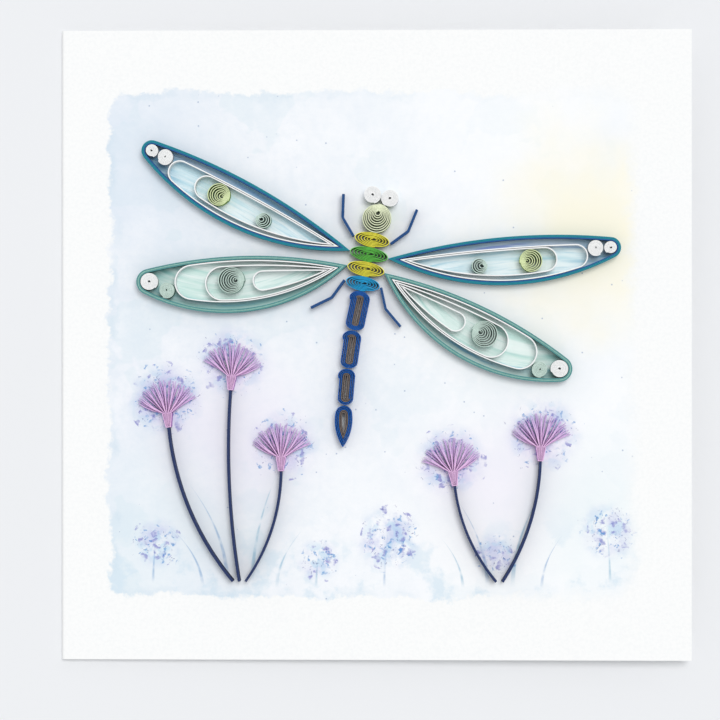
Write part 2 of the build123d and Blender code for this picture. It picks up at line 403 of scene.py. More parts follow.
@dataclass(frozen=True)
class PaperFinish:
    """A quilling paper: its face, its lighter edge and the deeper tone of its fibres.

    The face tone is deepened as painted shade on the strip's side walls. The edge tone is the upward cut
    edge:
    partly the paper's lighter cut edge, partly painted light on the top. The fibres show where the grain is
    low, by fibre_share on the face and a share of that on the edge. A surface counts as the lit cut edge by
    how far it looks up, between the two values of upright.
    """

    name: str
    # face: tone of the side walls, deepened as painted shade
    face: str
    # edge: lighter tone of the upward cut edge, partly painted light on the top
    edge: str
    fibre: str
    grain: Mottle = Mottle(1.7, 0.32, 0.66, 5.0, 0.65)
    cloud: Mottle = Mottle(0.16, 0.42, 0.75, 2.0)
    fibre_share: float = 0.55
    lit_top_fibre_share: float = 0.45
    cloud_share: float = 0.35
    upright: tuple[float, float] = (0.6, 0.95)
    roughness: tuple[float, float] = (0.66, 0.88)
    tooth: float = 0.03

    def material(self) -> bpy.types.Material:
        """Mix the paper.

        Returns:
            Its material.
        """
        desk = NodeDesk(self.name)
        grain = self.grain.wave(desk, desk.place)
        deep = desk.product(desk.soft_fall(grain, self.grain.low, self.grain.high), self.fibre_share)
        cloud = desk.product(self.cloud.cover(desk, desk.place), self.cloud_share)
        face = desk.tint(deep, ink(self.face), ink(self.fibre))
        face = desk.tint(cloud, face, ink(self.fibre))
        edge = desk.tint(desk.product(deep, self.lit_top_fibre_share), ink(self.edge), ink(self.fibre))
        # painted light and shade: surfaces that look up take the lighter edge tone, those that look aside the
        # darker face tone
        lit_top_share = desk.soft_step(desk.parts(desk.normal)[2], *self.upright)
        return desk.finish(desk.tint(lit_top_share, face, edge), grain, self.roughness, self.tooth)


@dataclass(frozen=True)
class FringeFinish(PaperFinish):
    """A fringed paper that fades from its rolled foot to the tips of its fingers.

    fade gives the two shares of the way to the tips between which the tip's tone comes in.
    """

    grain: Mottle = Mottle(1.7, 0.3, 0.7, 5.0, 0.65)
    fibre_share: float = 0.5
    lit_top_fibre_share: float = 0.6
    upright: tuple[float, float] = (0.5, 0.95)
    tip: str = "CDB8E6"
    fade: tuple[float, float] = (0.25, 1.0)
    face_tip_share: float = 0.7
    lit_top_tip_share: float = 0.8

    def material(self) -> bpy.types.Material:
        """Mix the paper, by each point's own share of the way to the tips.

        Returns:
            Its material.
        """
        desk = NodeDesk(self.name)
        reach = desk.nodes.new("ShaderNodeAttribute")
        reach.attribute_name = "reach"
        grain = self.grain.wave(desk, desk.place)
        deep = desk.product(desk.soft_fall(grain, self.grain.low, self.grain.high), self.fibre_share)
        fade = desk.soft_step(reach.outputs["Fac"], *self.fade)
        face = desk.tint(desk.product(fade, self.face_tip_share), ink(self.face), ink(self.tip))
        face = desk.tint(deep, face, ink(self.fibre))
        edge = desk.tint(desk.product(fade, self.lit_top_tip_share), ink(self.edge), ink(self.tip))
        edge = desk.tint(desk.product(deep, self.lit_top_fibre_share), edge, ink(self.fibre))
        # painted light and shade: surfaces that look up take the lighter edge tone, those that look aside the
        # darker face tone
        lit_top_share = desk.soft_step(desk.parts(desk.normal)[2], *self.upright)
        return desk.finish(desk.tint(lit_top_share, face, edge), grain, self.roughness, self.tooth)


# Face tones are deepened as painted shade on the side walls; edge tones are the lighter tops, partly painted
# light.
WHITE = PaperFinish("white strip", "E6E8E8", "FBFBFA", "D2D7D9")
TEAL = PaperFinish("teal strip", "17707F", "23899A", "0F4C5E")
DEEP_BLUE = PaperFinish("deep blue strip", "234F88", "2D629C", "183666")
SAGE = PaperFinish("sage strip", "6FA398", "8FBDB2", "4C7C76")
SEA_GREEN = PaperFinish("sea green strip", "437E80", "5A9797", "2F5C60")
PALE_GREEN = PaperFinish("pale green strip", "8CA84E", "E3F0BA", "7A9446")
HEAD_GREEN = PaperFinish("head green strip", "9FB46C", "F1F7D4", "93A865")
GREY_GREEN = PaperFinish("grey green strip", "6F9688", "CBE0D6", "5E8478")
COBALT = PaperFinish("cobalt strip", "0C3A80", "1A5BAE", "092858")
# dark paper for the inner turns of the tail coils: painted shade inside the coils
SHADED_CORE = PaperFinish("shaded core strip", "4F4745", "7A6E69", "3A3536")
SKY_BLUE = PaperFinish("sky blue strip", "066CB0", "2AB0E8", "085A9E")
YELLOW = PaperFinish("yellow strip", "B3A00A", "F8F052", "978608")
GREEN = PaperFinish("green strip", "238022", "6ACB54", "1C6A24")
NAVY = PaperFinish("navy strip", "22305A", "2E3D68", "161F3E")
LEG_BLUE = PaperFinish("leg blue strip", "1D4478", "28538A", "142F58")
LILAC = FringeFinish("lilac fringe", "B679C1", "F3C6EE", "8F64AA")


class Strip:
    """A strip of paper on edge, drawn out along its line and then thickened."""

    def __init__(self, name: str, start: Vector, width: float = STRIP_WIDTH) -> None:
        """Stand the strip's first edge on the card.

        Args:
            name: Name of the piece.
            start: Where the strip begins.
            width: How far it stands off the card.
        """
        bpy.ops.object.select_all(action="DESELECT")
        middle = start.x - width / 2
        bpy.ops.mesh.primitive_plane_add(
            size=width, location=(middle, start.y, width / 2), rotation=(math.pi / 2, 0.0, 0.0)
        )
        self.piece = bpy.context.active_object
        self.piece.name = name
        bpy.ops.object.transform_apply(location=True, rotation=True, scale=True)
        bpy.ops.object.mode_set(mode="EDIT")
        bpy.ops.mesh.select_all(action="DESELECT")
        bpy.ops.object.mode_set(mode="OBJECT")
        for corner in self.piece.data.vertices:
            corner.select = corner.co.x < middle
        bpy.ops.object.mode_set(mode="EDIT")
        bpy.ops.mesh.delete(type="VERT")
        bpy.ops.mesh.select_all(action="SELECT")

    def bend(self, centre: Vector, sweep: float, runs: int) -> None:
        """Bend on about a centre.

        Args:
            centre: Centre of the bend.
            sweep: Degrees, counter-clockwise.
            runs: How many straight runs stand for the bend.
        """
        bpy.ops.mesh.spin(
            steps=runs, angle=-math.radians(sweep), center=(centre.x, centre.y, 0.0), axis=(0.0, 0.0, 1.0)
        )

    def run(self, step: Vector) -> None:
        """Run straight on."""
        bpy.ops.mesh.extrude_region_move(TRANSFORM_OT_translate={"value": (step.x, step.y, 0.0)})

    def draw_out(self, times: float) -> None:
        """Make the whole line so many times longer along Y."""
        bpy.ops.mesh.select_all(action="SELECT")
        bpy.ops.transform.resize(value=(1.0, times, 1.0), center_override=(0.0, 0.0, 0.0))

    def finish(self, ply: float, material: bpy.types.Material) -> bpy.types.Object:
        """Close the line where its ends meet, and give the strip its thickness.

        Args:
            ply: Thickness of the paper.
            material: The paper.

        Returns:
            The finished strip.
        """
        bpy.ops.mesh.select_all(action="SELECT")
        bpy.ops.mesh.remove_doubles(threshold=SEAM)
        bpy.ops.mesh.normals_make_consistent(inside=False)
        bpy.ops.object.mode_set(mode="OBJECT")
        thicken = self.piece.modifiers.new("ply", "SOLIDIFY")
        thicken.thickness = ply
        thicken.offset = 0.0
        thicken.use_even_offset = True
        bpy.ops.object.modifier_apply(modifier=thicken.name)
        self.piece.data.materials.append(material)
        face_outwards(self.piece)
        return self.piece


@dataclass
class Coil:
    """A strip wound inwards in half turns, each a little smaller than the one before.

    The turns step in by tight on the -X side and by loose on the +X side, where play is the share by which
    a step may be off. lap is how far the glued outer end reaches back along the turn below it. stretch
    moves the two halves apart along Y, shift moves both along Y, and pinch makes the whole coil so many times
    longer along Y.
    """

    radius: float
    ply: float
    tight: float
    loose: float
    eye: float
    lap: float
    play: float
    stretch: float = 0.0
    shift: float = 0.0
    pinch: float = 1.0
    shaded_core_width: float = 0.0
    glue: float = 0.02
    runs: int = 20
    least_runs: int = 9
    seed: int = 7

    def wind(
        self, name: str, paper: bpy.types.Material, core: Optional[bpy.types.Material] = None
    ) -> bpy.types.Object:
        """Wind the coil.

        Args:
            name: Name of the piece.
            paper: The paper.
            core: The paper of the turns inside the core's width, where it is another one.

        Returns:
            The coil, with its outside centred on the origin.
        """
        near = self.ply / 2 - self.radius
        far = self.radius - self.ply / 2
        side = 1.0
        chance = random.Random(self.seed)
        tuck = max(self.tight - self.ply - self.glue, 0.0)
        strip = Strip(name, Vector((near + tuck, self.stretch / 2 + self.shift - self.lap)))
        strip.run(Vector((-tuck, self.lap)))
        strips = []
        while far - near > 2 * self.eye:
            if core and far - near < self.shaded_core_width:
                strips.append(self.press(strip, paper))
                paper, core = core, None
                strip = Strip(name, Vector((near if side > 0 else far, side * self.stretch / 2 + self.shift)))
            size = (far - near) / 2
            centre = Vector(((near + far) / 2, side * self.stretch / 2 + self.shift))
            runs = round(self.runs * math.sqrt(size / self.radius))
            strip.bend(centre, -180.0, max(self.least_runs, runs))
            if self.stretch:
                strip.run(Vector((0.0, -side * self.stretch)))
            if side > 0:
                near += self.tight
            else:
                far -= self.loose * (1.0 + chance.uniform(-self.play, self.play))
            side = -side
        return join([self.press(strip, paper), *strips])

    def press(self, strip: Strip, paper: bpy.types.Material) -> bpy.types.Object:
        """Pinch a wound strip to shape and finish it.

        Args:
            strip: The wound strip.
            paper: Its paper.

        Returns:
            The finished strip.
        """
        if self.pinch != 1.0:
            strip.draw_out(self.pinch)
        return strip.finish(self.ply, paper)


def tight_coil(radius: float) -> Coil:
    """A coil wound tight on the needle."""
    return Coil(radius, ply=0.19, tight=0.225, loose=0.225, eye=0.24, lap=0.3, play=0.08)


def round_coil(radius: float) -> Coil:
    """An eccentric coil, its turns pinched together on one side."""
    return Coil(radius, ply=0.2, tight=0.21, loose=0.62, eye=0.26, lap=0.3, play=0.2)


def oval_coil(width: float, length: float) -> Coil:
    """A coil pinched into an oval, longer along Y, with its turns loose at the ends.

    Args:
        width: Size across the oval.
        length: Size along it.

    Returns:
        The coil's sizes.
    """
    ply = 0.17
    pitch = 0.29
    coil = Coil(width / 2, ply, tight=pitch, loose=pitch, eye=0.16, lap=0.3, play=0.2)
    coil.shift = -pitch / 4
    coil.pinch = (length - ply) / (width - ply - pitch / 2)
    return coil


def flat_coil(width: float, length: float, end_depth: float, shaded_core_width: float) -> Coil:
    """A coil wound flat along Y until its core is full.

    Args:
        width: Size across the coil.
        length: Size along it.
        end_depth: How deep its rounded ends are.
        shaded_core_width: Width inside which its turns are of the core's paper.

    Returns:
        The coil's sizes.
    """
    ply = 0.2
    slit = 0.1
    wanted_pitch = 0.4
    room = width - ply - slit
    pitch = room / round(room / wanted_pitch)
    coil = Coil(width / 2, ply, tight=pitch, loose=pitch, eye=0.12, lap=0.9, play=0.08)
    coil.shaded_core_width = shaded_core_width
    coil.pinch = (2 * end_depth - ply) / (width - ply)
    coil.stretch = (length - 2 * end_depth) / coil.pinch
    return coil


@dataclass
class Almond:
    """The space between two arcs that spring from one point, the root, and meet again further along X.

    The arcs bulge towards +Y (leading) and -Y (trailing) of their common chord.
    """

    root: Vector
    span: float
    lead_bulge: float
    trail_bulge: float
    lead_runs: int = 36
    tip_runs: int = 22
    trail_runs: int = 40

    def __post_init__(self) -> None:
        """Work out the two arcs."""
        self.half = self.span / 2
        self.lead = (self.half**2 + self.lead_bulge**2) / (2 * self.lead_bulge)
        self.trail = (self.half**2 + self.trail_bulge**2) / (2 * self.trail_bulge)
        self.lead_centre = self.root + Vector((self.half, self.lead_bulge - self.lead))
        self.trail_centre = self.root + Vector((self.half, self.trail - self.trail_bulge))
        self.skew = (self.lead - self.trail) / (self.trail_centre.y - self.lead_centre.y)

    def set_in(self, inset: float) -> "Almond":
        """The almond between the same arcs, both set in.

        Args:
            inset: How far they are set in.

        Returns:
            The smaller almond.
        """
        drop = self.skew * inset
        half = math.sqrt((self.lead - inset) ** 2 - (self.lead - self.lead_bulge - drop) ** 2)
        root = self.root + Vector((self.half - half, -drop))
        return Almond(root, 2 * half, self.lead_bulge - inset + drop, self.trail_bulge - inset - drop)

    def eased(self, slack: float, edge: Edge) -> "Almond":
        """The almond with one arc made flatter.

        Args:
            slack: How much flatter it is in its middle.
            edge: Which arc.

        Returns:
            The narrower almond.
        """
        lead_bulge = self.lead_bulge - (slack if edge is Edge.LEADING else 0.0)
        trail_bulge = self.trail_bulge - (slack if edge is Edge.TRAILING else 0.0)
        return Almond(self.root, self.span, lead_bulge, trail_bulge)

    def circle(self, reach: float) -> tuple[Vector, float]:
        """The circle that touches both arcs.

        Args:
            reach: Where its far end is, along from the wing's root.

        Returns:
            Its middle and its radius.
        """
        ahead = reach - self.root.x - self.half
        slope = self.lead + self.skew * (self.lead_bulge - self.lead) - ahead
        root = math.sqrt(slope**2 - self.skew**2 * (ahead**2 - self.half**2))
        radius = (self.half**2 - ahead**2) / (slope + root)
        return Vector((reach - radius, self.root.y - self.skew * radius)), radius

    def leaning(self, along: float, radius: float, edge: Edge) -> Vector:
        """The circle that leans on one arc from inside.

        Args:
            along: Where its middle is, along from the wing's root.
            radius: Its radius.
            edge: Which arc.

        Returns:
            Its middle.
        """
        arc = self.lead if edge is Edge.LEADING else self.trail
        centre = self.lead_centre if edge is Edge.LEADING else self.trail_centre
        away = math.sqrt((arc - radius) ** 2 - (along - centre.x) ** 2)
        return Vector((along, centre.y + edge.value * away))

    def loop(self, name: str, reach: float, ply: float, material: bpy.types.Material) -> bpy.types.Object:
        """Bend a strip into a loop that follows both arcs.

        Args:
            name: Name of the piece.
            reach: How far from the wing's root the loop turns round.
            ply: Thickness of the paper.
            material: The paper.

        Returns:
            The loop, pinched to a point at the root.
        """
        line = self.set_in(ply / 2)
        centre, _ = line.circle(reach - ply / 2)
        lead_turn = bearing(line.lead_centre, centre)
        trail_turn = bearing(line.trail_centre, centre)
        strip = Strip(name, line.root)
        strip.bend(line.lead_centre, lead_turn - bearing(line.lead_centre, line.root), self.lead_runs)
        strip.bend(centre, trail_turn - lead_turn, self.tip_runs)
        last_turn = bearing(line.trail_centre, line.root)
        strip.bend(line.trail_centre, last_turn - trail_turn, self.trail_runs)
        return strip.finish(ply, material)


class Bench:
    """Holds the papers, and puts finished pieces on the card in place of their plain solids."""

    def __init__(self) -> None:
        """Mix no paper until a piece asks for it."""
        self.mixed: dict[PaperFinish, bpy.types.Material] = {}

    def paper(self, finish: PaperFinish) -> bpy.types.Material:
        """The material of a finish, mixed once.

        Args:
            finish: The finish.

        Returns:
            Its material.
        """
        if finish not in self.mixed:
            self.mixed[finish] = finish.material()
        return self.mixed[finish]

    def lay(self, piece: bpy.types.Object, node: str, paper: Paper, place: Matrix) -> bpy.types.Object:
        """Put a piece in its place and let it stand for its node.

        Args:
            piece: The finished piece, in millimetres at the origin.
            node: The plain solid that it replaces.
            paper: The paper that it is made of; not used.
            place: Where it goes, in millimetres.

        Returns:
            The piece.
        """
        piece.name = f"{node}_paper"
        pick(piece)
        piece.matrix_world = Matrix.Scale(MM, 4) @ place
        bpy.ops.object.transform_apply(location=True, rotation=True, scale=True)
        face_outwards(piece)
        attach(piece, "root")
        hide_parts(node)
        LOG.info("%s: %d faces", piece.name, len(piece.data.polygons))
        return piece

    def copy(self, piece: bpy.types.Object) -> bpy.types.Object:
        """Copy a piece with a mesh of its own.

        Args:
            piece: The piece.

        Returns:
            The copy.
        """
        pick(piece)
        bpy.ops.object.duplicate(linked=False)
        return bpy.context.active_object

    def lay_pair(
        self, piece: bpy.types.Object, node: str, paper: Paper, figure: Matrix, place: Matrix
    ) -> None:
        """Put a piece on the right of a figure, and its mirror image on the left.

        Args:
            piece: The finished piece, in millimetres at the origin.
            node: The nodes' common name, without its side.
            paper: The paper that it is made of.
            figure: Where the figure is.
            place: Where the right-hand piece is on the figure.
        """
        twin = self.copy(piece)
        self.lay(piece, f"right_{node}", paper, figure @ place)
        self.lay(twin, f"left_{node}", paper, figure @ Matrix.Scale(-1.0, 4, (1.0, 0.0, 0.0)) @ place)


@dataclass(frozen=True)
class WingTint:
    """Colours that are brushed on the print inside a wing."""

    ground: str
    streak: str
    band: str
    accent: str
    tip: str


@dataclass
class Wing:
    """A pair of wings: a rim of several plies, white loops inside, and two tight coils in the tip."""

    name: str
    length: float
    taper: float
    lead_bulge: float
    trail_bulge: float
    angle: float
    rim_papers: tuple[PaperFinish, ...]
    rim_slot: Paper
    free_edge: Edge
    held_edge: Edge
    short_share: float
    inner_tip_paper: PaperFinish
    inner_tip_slot: Paper
    tint: WingTint
    ply: float = 0.27
    wall: float = 0.3
    inner_tip_radius: float = 1.9
    tip_turn: float = 40.0
    inner_tip_turn: float = 115.0
    long_slack: float = 1.6
    short_slack: float = 0.8

    def __post_init__(self) -> None:
        """Draw the wing's outer edge."""
        span = self.length + self.taper
        self.almond = Almond(Vector((0.0, 0.0)), span, self.lead_bulge, self.trail_bulge)

    def build(self, bench: Bench, figure: Matrix, root: Vector) -> tuple[Matrix, Almond]:
        """Build the strips that both pairs of wings have.

        Args:
            bench: Holds the papers and lays the pieces.
            figure: Where the figure is.
            root: Where the right-hand wing joins the thorax.

        Returns:
            The wing's place on the figure, and the space inside its short loop.
        """
        place = at(root, self.angle)
        plies = []
        for number, finish in enumerate(self.rim_papers):
            inset = number * self.wall
            edge = self.almond.set_in(inset)
            plies.append(edge.loop("rim_ply", self.length - inset, self.ply, bench.paper(finish)))
        bench.lay_pair(join(plies), f"{self.name}_rim", self.rim_slot, figure, place)

        inset = len(self.rim_papers) * self.wall + GLUE_GAP
        inside = self.almond.set_in(inset)
        tip, tip_radius = inside.circle(self.length - inset)
        coil = tight_coil(tip_radius).wind("tip_coil", bench.paper(WHITE))
        spot = place @ at(tip, self.tip_turn)
        bench.lay_pair(coil, f"{self.name}_tip_coil", Paper.WHITE, figure, spot)

        along = tip.x - tip_radius - GLUE_GAP - self.inner_tip_radius
        middle = inside.leaning(along, self.inner_tip_radius, self.free_edge)
        coil = tight_coil(self.inner_tip_radius).wind("inner_tip_coil", bench.paper(self.inner_tip_paper))
        spot = place @ at(middle, self.inner_tip_turn)
        bench.lay_pair(coil, f"{self.name}_inner_tip_coil", self.inner_tip_slot, figure, spot)

        reach = along - self.inner_tip_radius - GLUE_GAP
        long_loop = inside.eased(self.long_slack, self.free_edge)
        short_loop = long_loop.set_in(self.wall + GLUE_GAP).eased(self.short_slack, self.held_edge)
        self.lay_loop(bench, "long_loop", long_loop, reach, figure, place)
        self.lay_loop(bench, "short_loop", short_loop, self.length * self.short_share, figure, place)
        return place, short_loop.set_in(self.wall + GLUE_GAP)

    def lay_loop(
        self, bench: Bench, name: str, space: Almond, reach: float, figure: Matrix, place: Matrix
    ) -> None:
        """Bend a white loop and lay it in both wings."""
        loop = space.loop(name, reach, self.ply, bench.paper(WHITE))
        bench.lay_pair(loop, f"{self.name}_{name}", Paper.WHITE, figure, place)


@dataclass
class Forewing(Wing):
    """The front wings, with a round coil and a smaller one near the root."""

    round_share: float = 0.66
    root_share: float = 0.39
    root_radius: float = 1.9
    root_turn: float = 180.0

    def fill(self, bench: Bench, figure: Matrix, root: Vector) -> None:
        """Build the wings and the coils inside the short loop.

        Args:
            bench: Holds the papers and lays the pieces.
            figure: Where the figure is.
            root: Where the right-hand wing joins the thorax.
        """
        place, inside = self.build(bench, figure, root)
        middle, radius = inside.circle(self.length * self.round_share)
        coil = round_coil(radius).wind("round_coil", bench.paper(PALE_GREEN))
        bench.lay_pair(coil, f"{self.name}_round_coil", Paper.PALE_GREEN, figure, place @ at(middle))
        middle = inside.leaning(self.length * self.root_share, self.root_radius, Edge.TRAILING)
        coil = round_coil(self.root_radius).wind("root_coil", bench.paper(GREY_GREEN))
        spot = place @ at(middle, self.root_turn)
        bench.lay_pair(coil, f"{self.name}_root_coil", Paper.GREY_GREEN, figure, spot)


@dataclass
class Hindwing(Wing):
    """The rear wings, with a round coil and a petal-shaped loop at the root."""

    round_share: float = 0.55
    petal_share: float = 0.45
    round_radius: float = 3.2
    petal_slack: float = 1.1

    def fill(self, bench: Bench, figure: Matrix, root: Vector) -> None:
        """Build the wings, and the coil and the loop inside the short loop.

        Args:
            bench: Holds the papers and lays the pieces.
            figure: Where the figure is.
            root: Where the right-hand wing joins the thorax.
        """
        place, inside = self.build(bench, figure, root)
        middle = inside.leaning(self.length * self.round_share, self.round_radius, Edge.LEADING)
        coil = round_coil(self.round_radius).wind("round_coil", bench.paper(GREY_GREEN))
        bench.lay_pair(coil, f"{self.name}_round_coil", Paper.GREY_GREEN, figure, place @ at(middle))
        petal = inside.eased(self.petal_slack, Edge.LEADING).eased(self.petal_slack, Edge.TRAILING)
        self.lay_loop(bench, "petal_loop", petal, self.length * self.petal_share, figure, place)


@dataclass
class Tail:
    """Flat coils end to end, each with its inner turns wound in dark umber paper as painted shade inside the
    coil, and a pinched tip.
    """

    widths: tuple[float, ...] = (4.9, 4.5, 4.1)
    lengths: tuple[float, ...] = (9.6, 9.2, 8.8)
    bend: float = 3.5
    end_depth: float = 1.7
    shaded_core_width: float = 1.9
    tip_length: float = 10.0
    tip_taper: float = 3.2
    tip_bulge: float = 2.1
    tip_ply: float = 0.2
    tip_pitch: float = 0.36
    tip_turns: int = 5
    tip_shaded_core_turns: int = 2

    def build(self, bench: Bench, figure: Matrix, end: Vector) -> None:
        """Build the tail from its front end.

        Args:
            bench: Holds the papers and lays the pieces.
            figure: Where the figure is.
            end: Where the tail begins.
        """
        heading = -90.0
        for number, (width, length) in enumerate(zip(self.widths, self.lengths), start=1):
            middle = end + towards(heading) * (length / 2)
            coil = flat_coil(width, length, self.end_depth, self.shaded_core_width)
            # painted shade: the turns inside the core's width are of the dark umber paper
            coil = coil.wind("tail_coil", bench.paper(COBALT), bench.paper(SHADED_CORE))
            bench.lay(coil, f"tail_coil_{number}", Paper.COBALT, figure @ at(middle, heading + 90))
            end = middle + towards(heading) * (length / 2)
            heading += self.bend
            end += towards(heading) * GLUE_GAP
        point = end + towards(heading) * self.tip_length
        bench.lay(self.wind_tip(bench), "tail_tip_coil", Paper.COBALT, figure @ at(point, heading + 180))

    def wind_tip(self, bench: Bench) -> bpy.types.Object:
        """Nest pinched turns inside one another, the inner ones in the dark umber paper that paints the shade
        inside the tip.

        Args:
            bench: Holds the papers.

        Returns:
            The tip, with its point at the origin.
        """
        span = self.tip_length + self.tip_taper
        outside = Almond(Vector((0.0, 0.0)), span, self.tip_bulge, self.tip_bulge)
        turns = []
        for turn in range(self.tip_turns):
            inset = turn * self.tip_pitch
            # painted shade: the innermost turns are of the dark umber paper
            finish = SHADED_CORE if turn >= self.tip_turns - self.tip_shaded_core_turns else COBALT
            space = outside.set_in(inset)
            reach = self.tip_length - inset
            turns.append(space.loop("tail_tip_turn", reach, self.tip_ply, bench.paper(finish)))
        return join(turns)


@dataclass
class Leg:
    """Two plies side by side, bent once at the knee."""

    angle: float
    knee: float
    upper: float = 5.2
    lower: float = 5.6
    knee_radius: float = 1.0
    knee_runs: int = 8
    ply: float = 0.28
    thickness: float = 0.6

    def build(self, bench: Bench) -> bpy.types.Object:
        """Bend the leg, from the origin outwards.

        Args:
            bench: Holds the papers.

        Returns:
            The leg.
        """
        short = self.knee_radius * math.tan(math.radians(self.knee) / 2)
        thigh = towards(self.angle) * (self.upper - short)
        shin = towards(self.angle + self.knee) * (self.lower - short)
        side = towards(self.angle + 90)
        plies = []
        for shift in (-1.0, 1.0):
            start = side * (shift * (self.thickness - self.ply) / 2)
            strip = Strip("leg_ply", start)
            strip.run(thigh)
            strip.bend(thigh + side * self.knee_radius, self.knee, self.knee_runs)
            strip.run(shin)
            plies.append(strip.finish(self.ply, bench.paper(LEG_BLUE)))
        return join(plies)


@dataclass
class Dragonfly:
    """The quilled figure, head towards +Y, with the middle of its thorax at its own origin."""

    depth: float = 3.5
    widths: tuple[float, ...] = (8.2, 9.0, 9.2, 8.4)
    names: tuple[str, ...] = ("blue", "rear_yellow", "green", "front_yellow")
    papers: tuple[PaperFinish, ...] = (SKY_BLUE, YELLOW, GREEN, YELLOW)
    slots: tuple[Paper, ...] = (Paper.SKY_BLUE, Paper.YELLOW, Paper.GREEN, Paper.YELLOW)
    head_radius: float = 3.5
    head_turn: float = -90.0
    eye_radius: float = 2.1
    eye_turn: float = 60.0
    front_leg: Leg = field(default_factory=lambda: Leg(48.0, 32.0))
    rear_leg: Leg = field(default_factory=lambda: Leg(-66.0, 28.0))
    tail: Tail = field(default_factory=Tail)
    forewing: Forewing = field(
        default_factory=lambda: Forewing(
            name="forewing",
            length=56.0,
            taper=5.2,
            lead_bulge=3.2,
            trail_bulge=8.4,
            angle=16.0,
            rim_papers=(TEAL, TEAL, DEEP_BLUE),
            rim_slot=Paper.TEAL,
            free_edge=Edge.LEADING,
            held_edge=Edge.TRAILING,
            short_share=0.725,
            inner_tip_paper=WHITE,
            inner_tip_slot=Paper.WHITE,
            tint=WingTint("EBF6F8", "B0DAE6", "6DB8D3", "7C8FDA", "3F92B6"),
        )
    )
    hindwing: Hindwing = field(
        default_factory=lambda: Hindwing(
            name="hindwing",
            length=51.0,
            taper=4.4,
            lead_bulge=3.6,
            trail_bulge=10.0,
            angle=-15.0,
            rim_papers=(SEA_GREEN, SAGE, SEA_GREEN),
            rim_slot=Paper.SAGE,
            free_edge=Edge.TRAILING,
            held_edge=Edge.LEADING,
            short_share=0.675,
            inner_tip_paper=GREY_GREEN,
            inner_tip_slot=Paper.GREY_GREEN,
            tint=WingTint("EBF6F2", "B7DDD3", "82C3BD", "6DB4D8", "5FABA6"),
        )
    )

    def row(self, name: str) -> Vector:
        """Where a strip meets the right-hand end of a thorax coil.

        Args:
            name: Name of the coil.

        Returns:
            The place on the figure.
        """
        number = self.names.index(name)
        along = (number - (len(self.names) - 1) / 2) * (self.depth + GLUE_GAP)
        return Vector((self.widths[number] / 2 + GLUE_GAP, along))

    def build(self, bench: Bench, figure: Matrix) -> None:
        """Build the whole figure.

        Args:
            bench: Holds the papers and lays the pieces.
            figure: Where the figure is.
        """
        for name, width, finish, slot in zip(self.names, self.widths, self.papers, self.slots):
            coil = oval_coil(self.depth, width).wind("thorax_coil", bench.paper(finish))
            place = figure @ at(Vector((0.0, self.row(name).y)), 90)
            bench.lay(coil, f"thorax_{name}_coil", slot, place)
        self.build_head(bench, figure)
        self.forewing.fill(bench, figure, self.row("green"))
        self.hindwing.fill(bench, figure, self.row("rear_yellow"))
        legs = {"front_leg": (self.front_leg, "front_yellow"), "rear_leg": (self.rear_leg, "blue")}
        for node, (leg, row) in legs.items():
            hip = self.row(row) + Vector((leg.thickness / 2, 0.0))
            bench.lay_pair(leg.build(bench), node, Paper.NAVY, figure, at(hip))
        self.tail.build(bench, figure, Vector((0.0, self.row("blue").y - self.depth / 2 - GLUE_GAP)))

    def build_head(self, bench: Bench, figure: Matrix) -> None:
        """Build the head coil and the two eyes in front of it.

        Args:
            bench: Holds the papers and lays the pieces.
            figure: Where the figure is.
        """
        neck = self.row("front_yellow").y + self.depth / 2 + GLUE_GAP
        head = Vector((0.0, neck + self.head_radius))
        coil = round_coil(self.head_radius).wind("head_coil", bench.paper(HEAD_GREEN))
        bench.lay(coil, "head_coil", Paper.PALE_GREEN, figure @ at(head, self.head_turn))
        aside = self.eye_radius + GLUE_GAP / 2
        ahead = math.sqrt((self.head_radius + GLUE_GAP + self.eye_radius) ** 2 - aside**2)
        eye = tight_coil(self.eye_radius).wind("eye_coil", bench.paper(WHITE))
        spot = at(head + Vector((aside, ahead)), self.eye_turn)
        bench.lay_pair(eye, "eye_coil", Paper.WHITE, figure, spot)


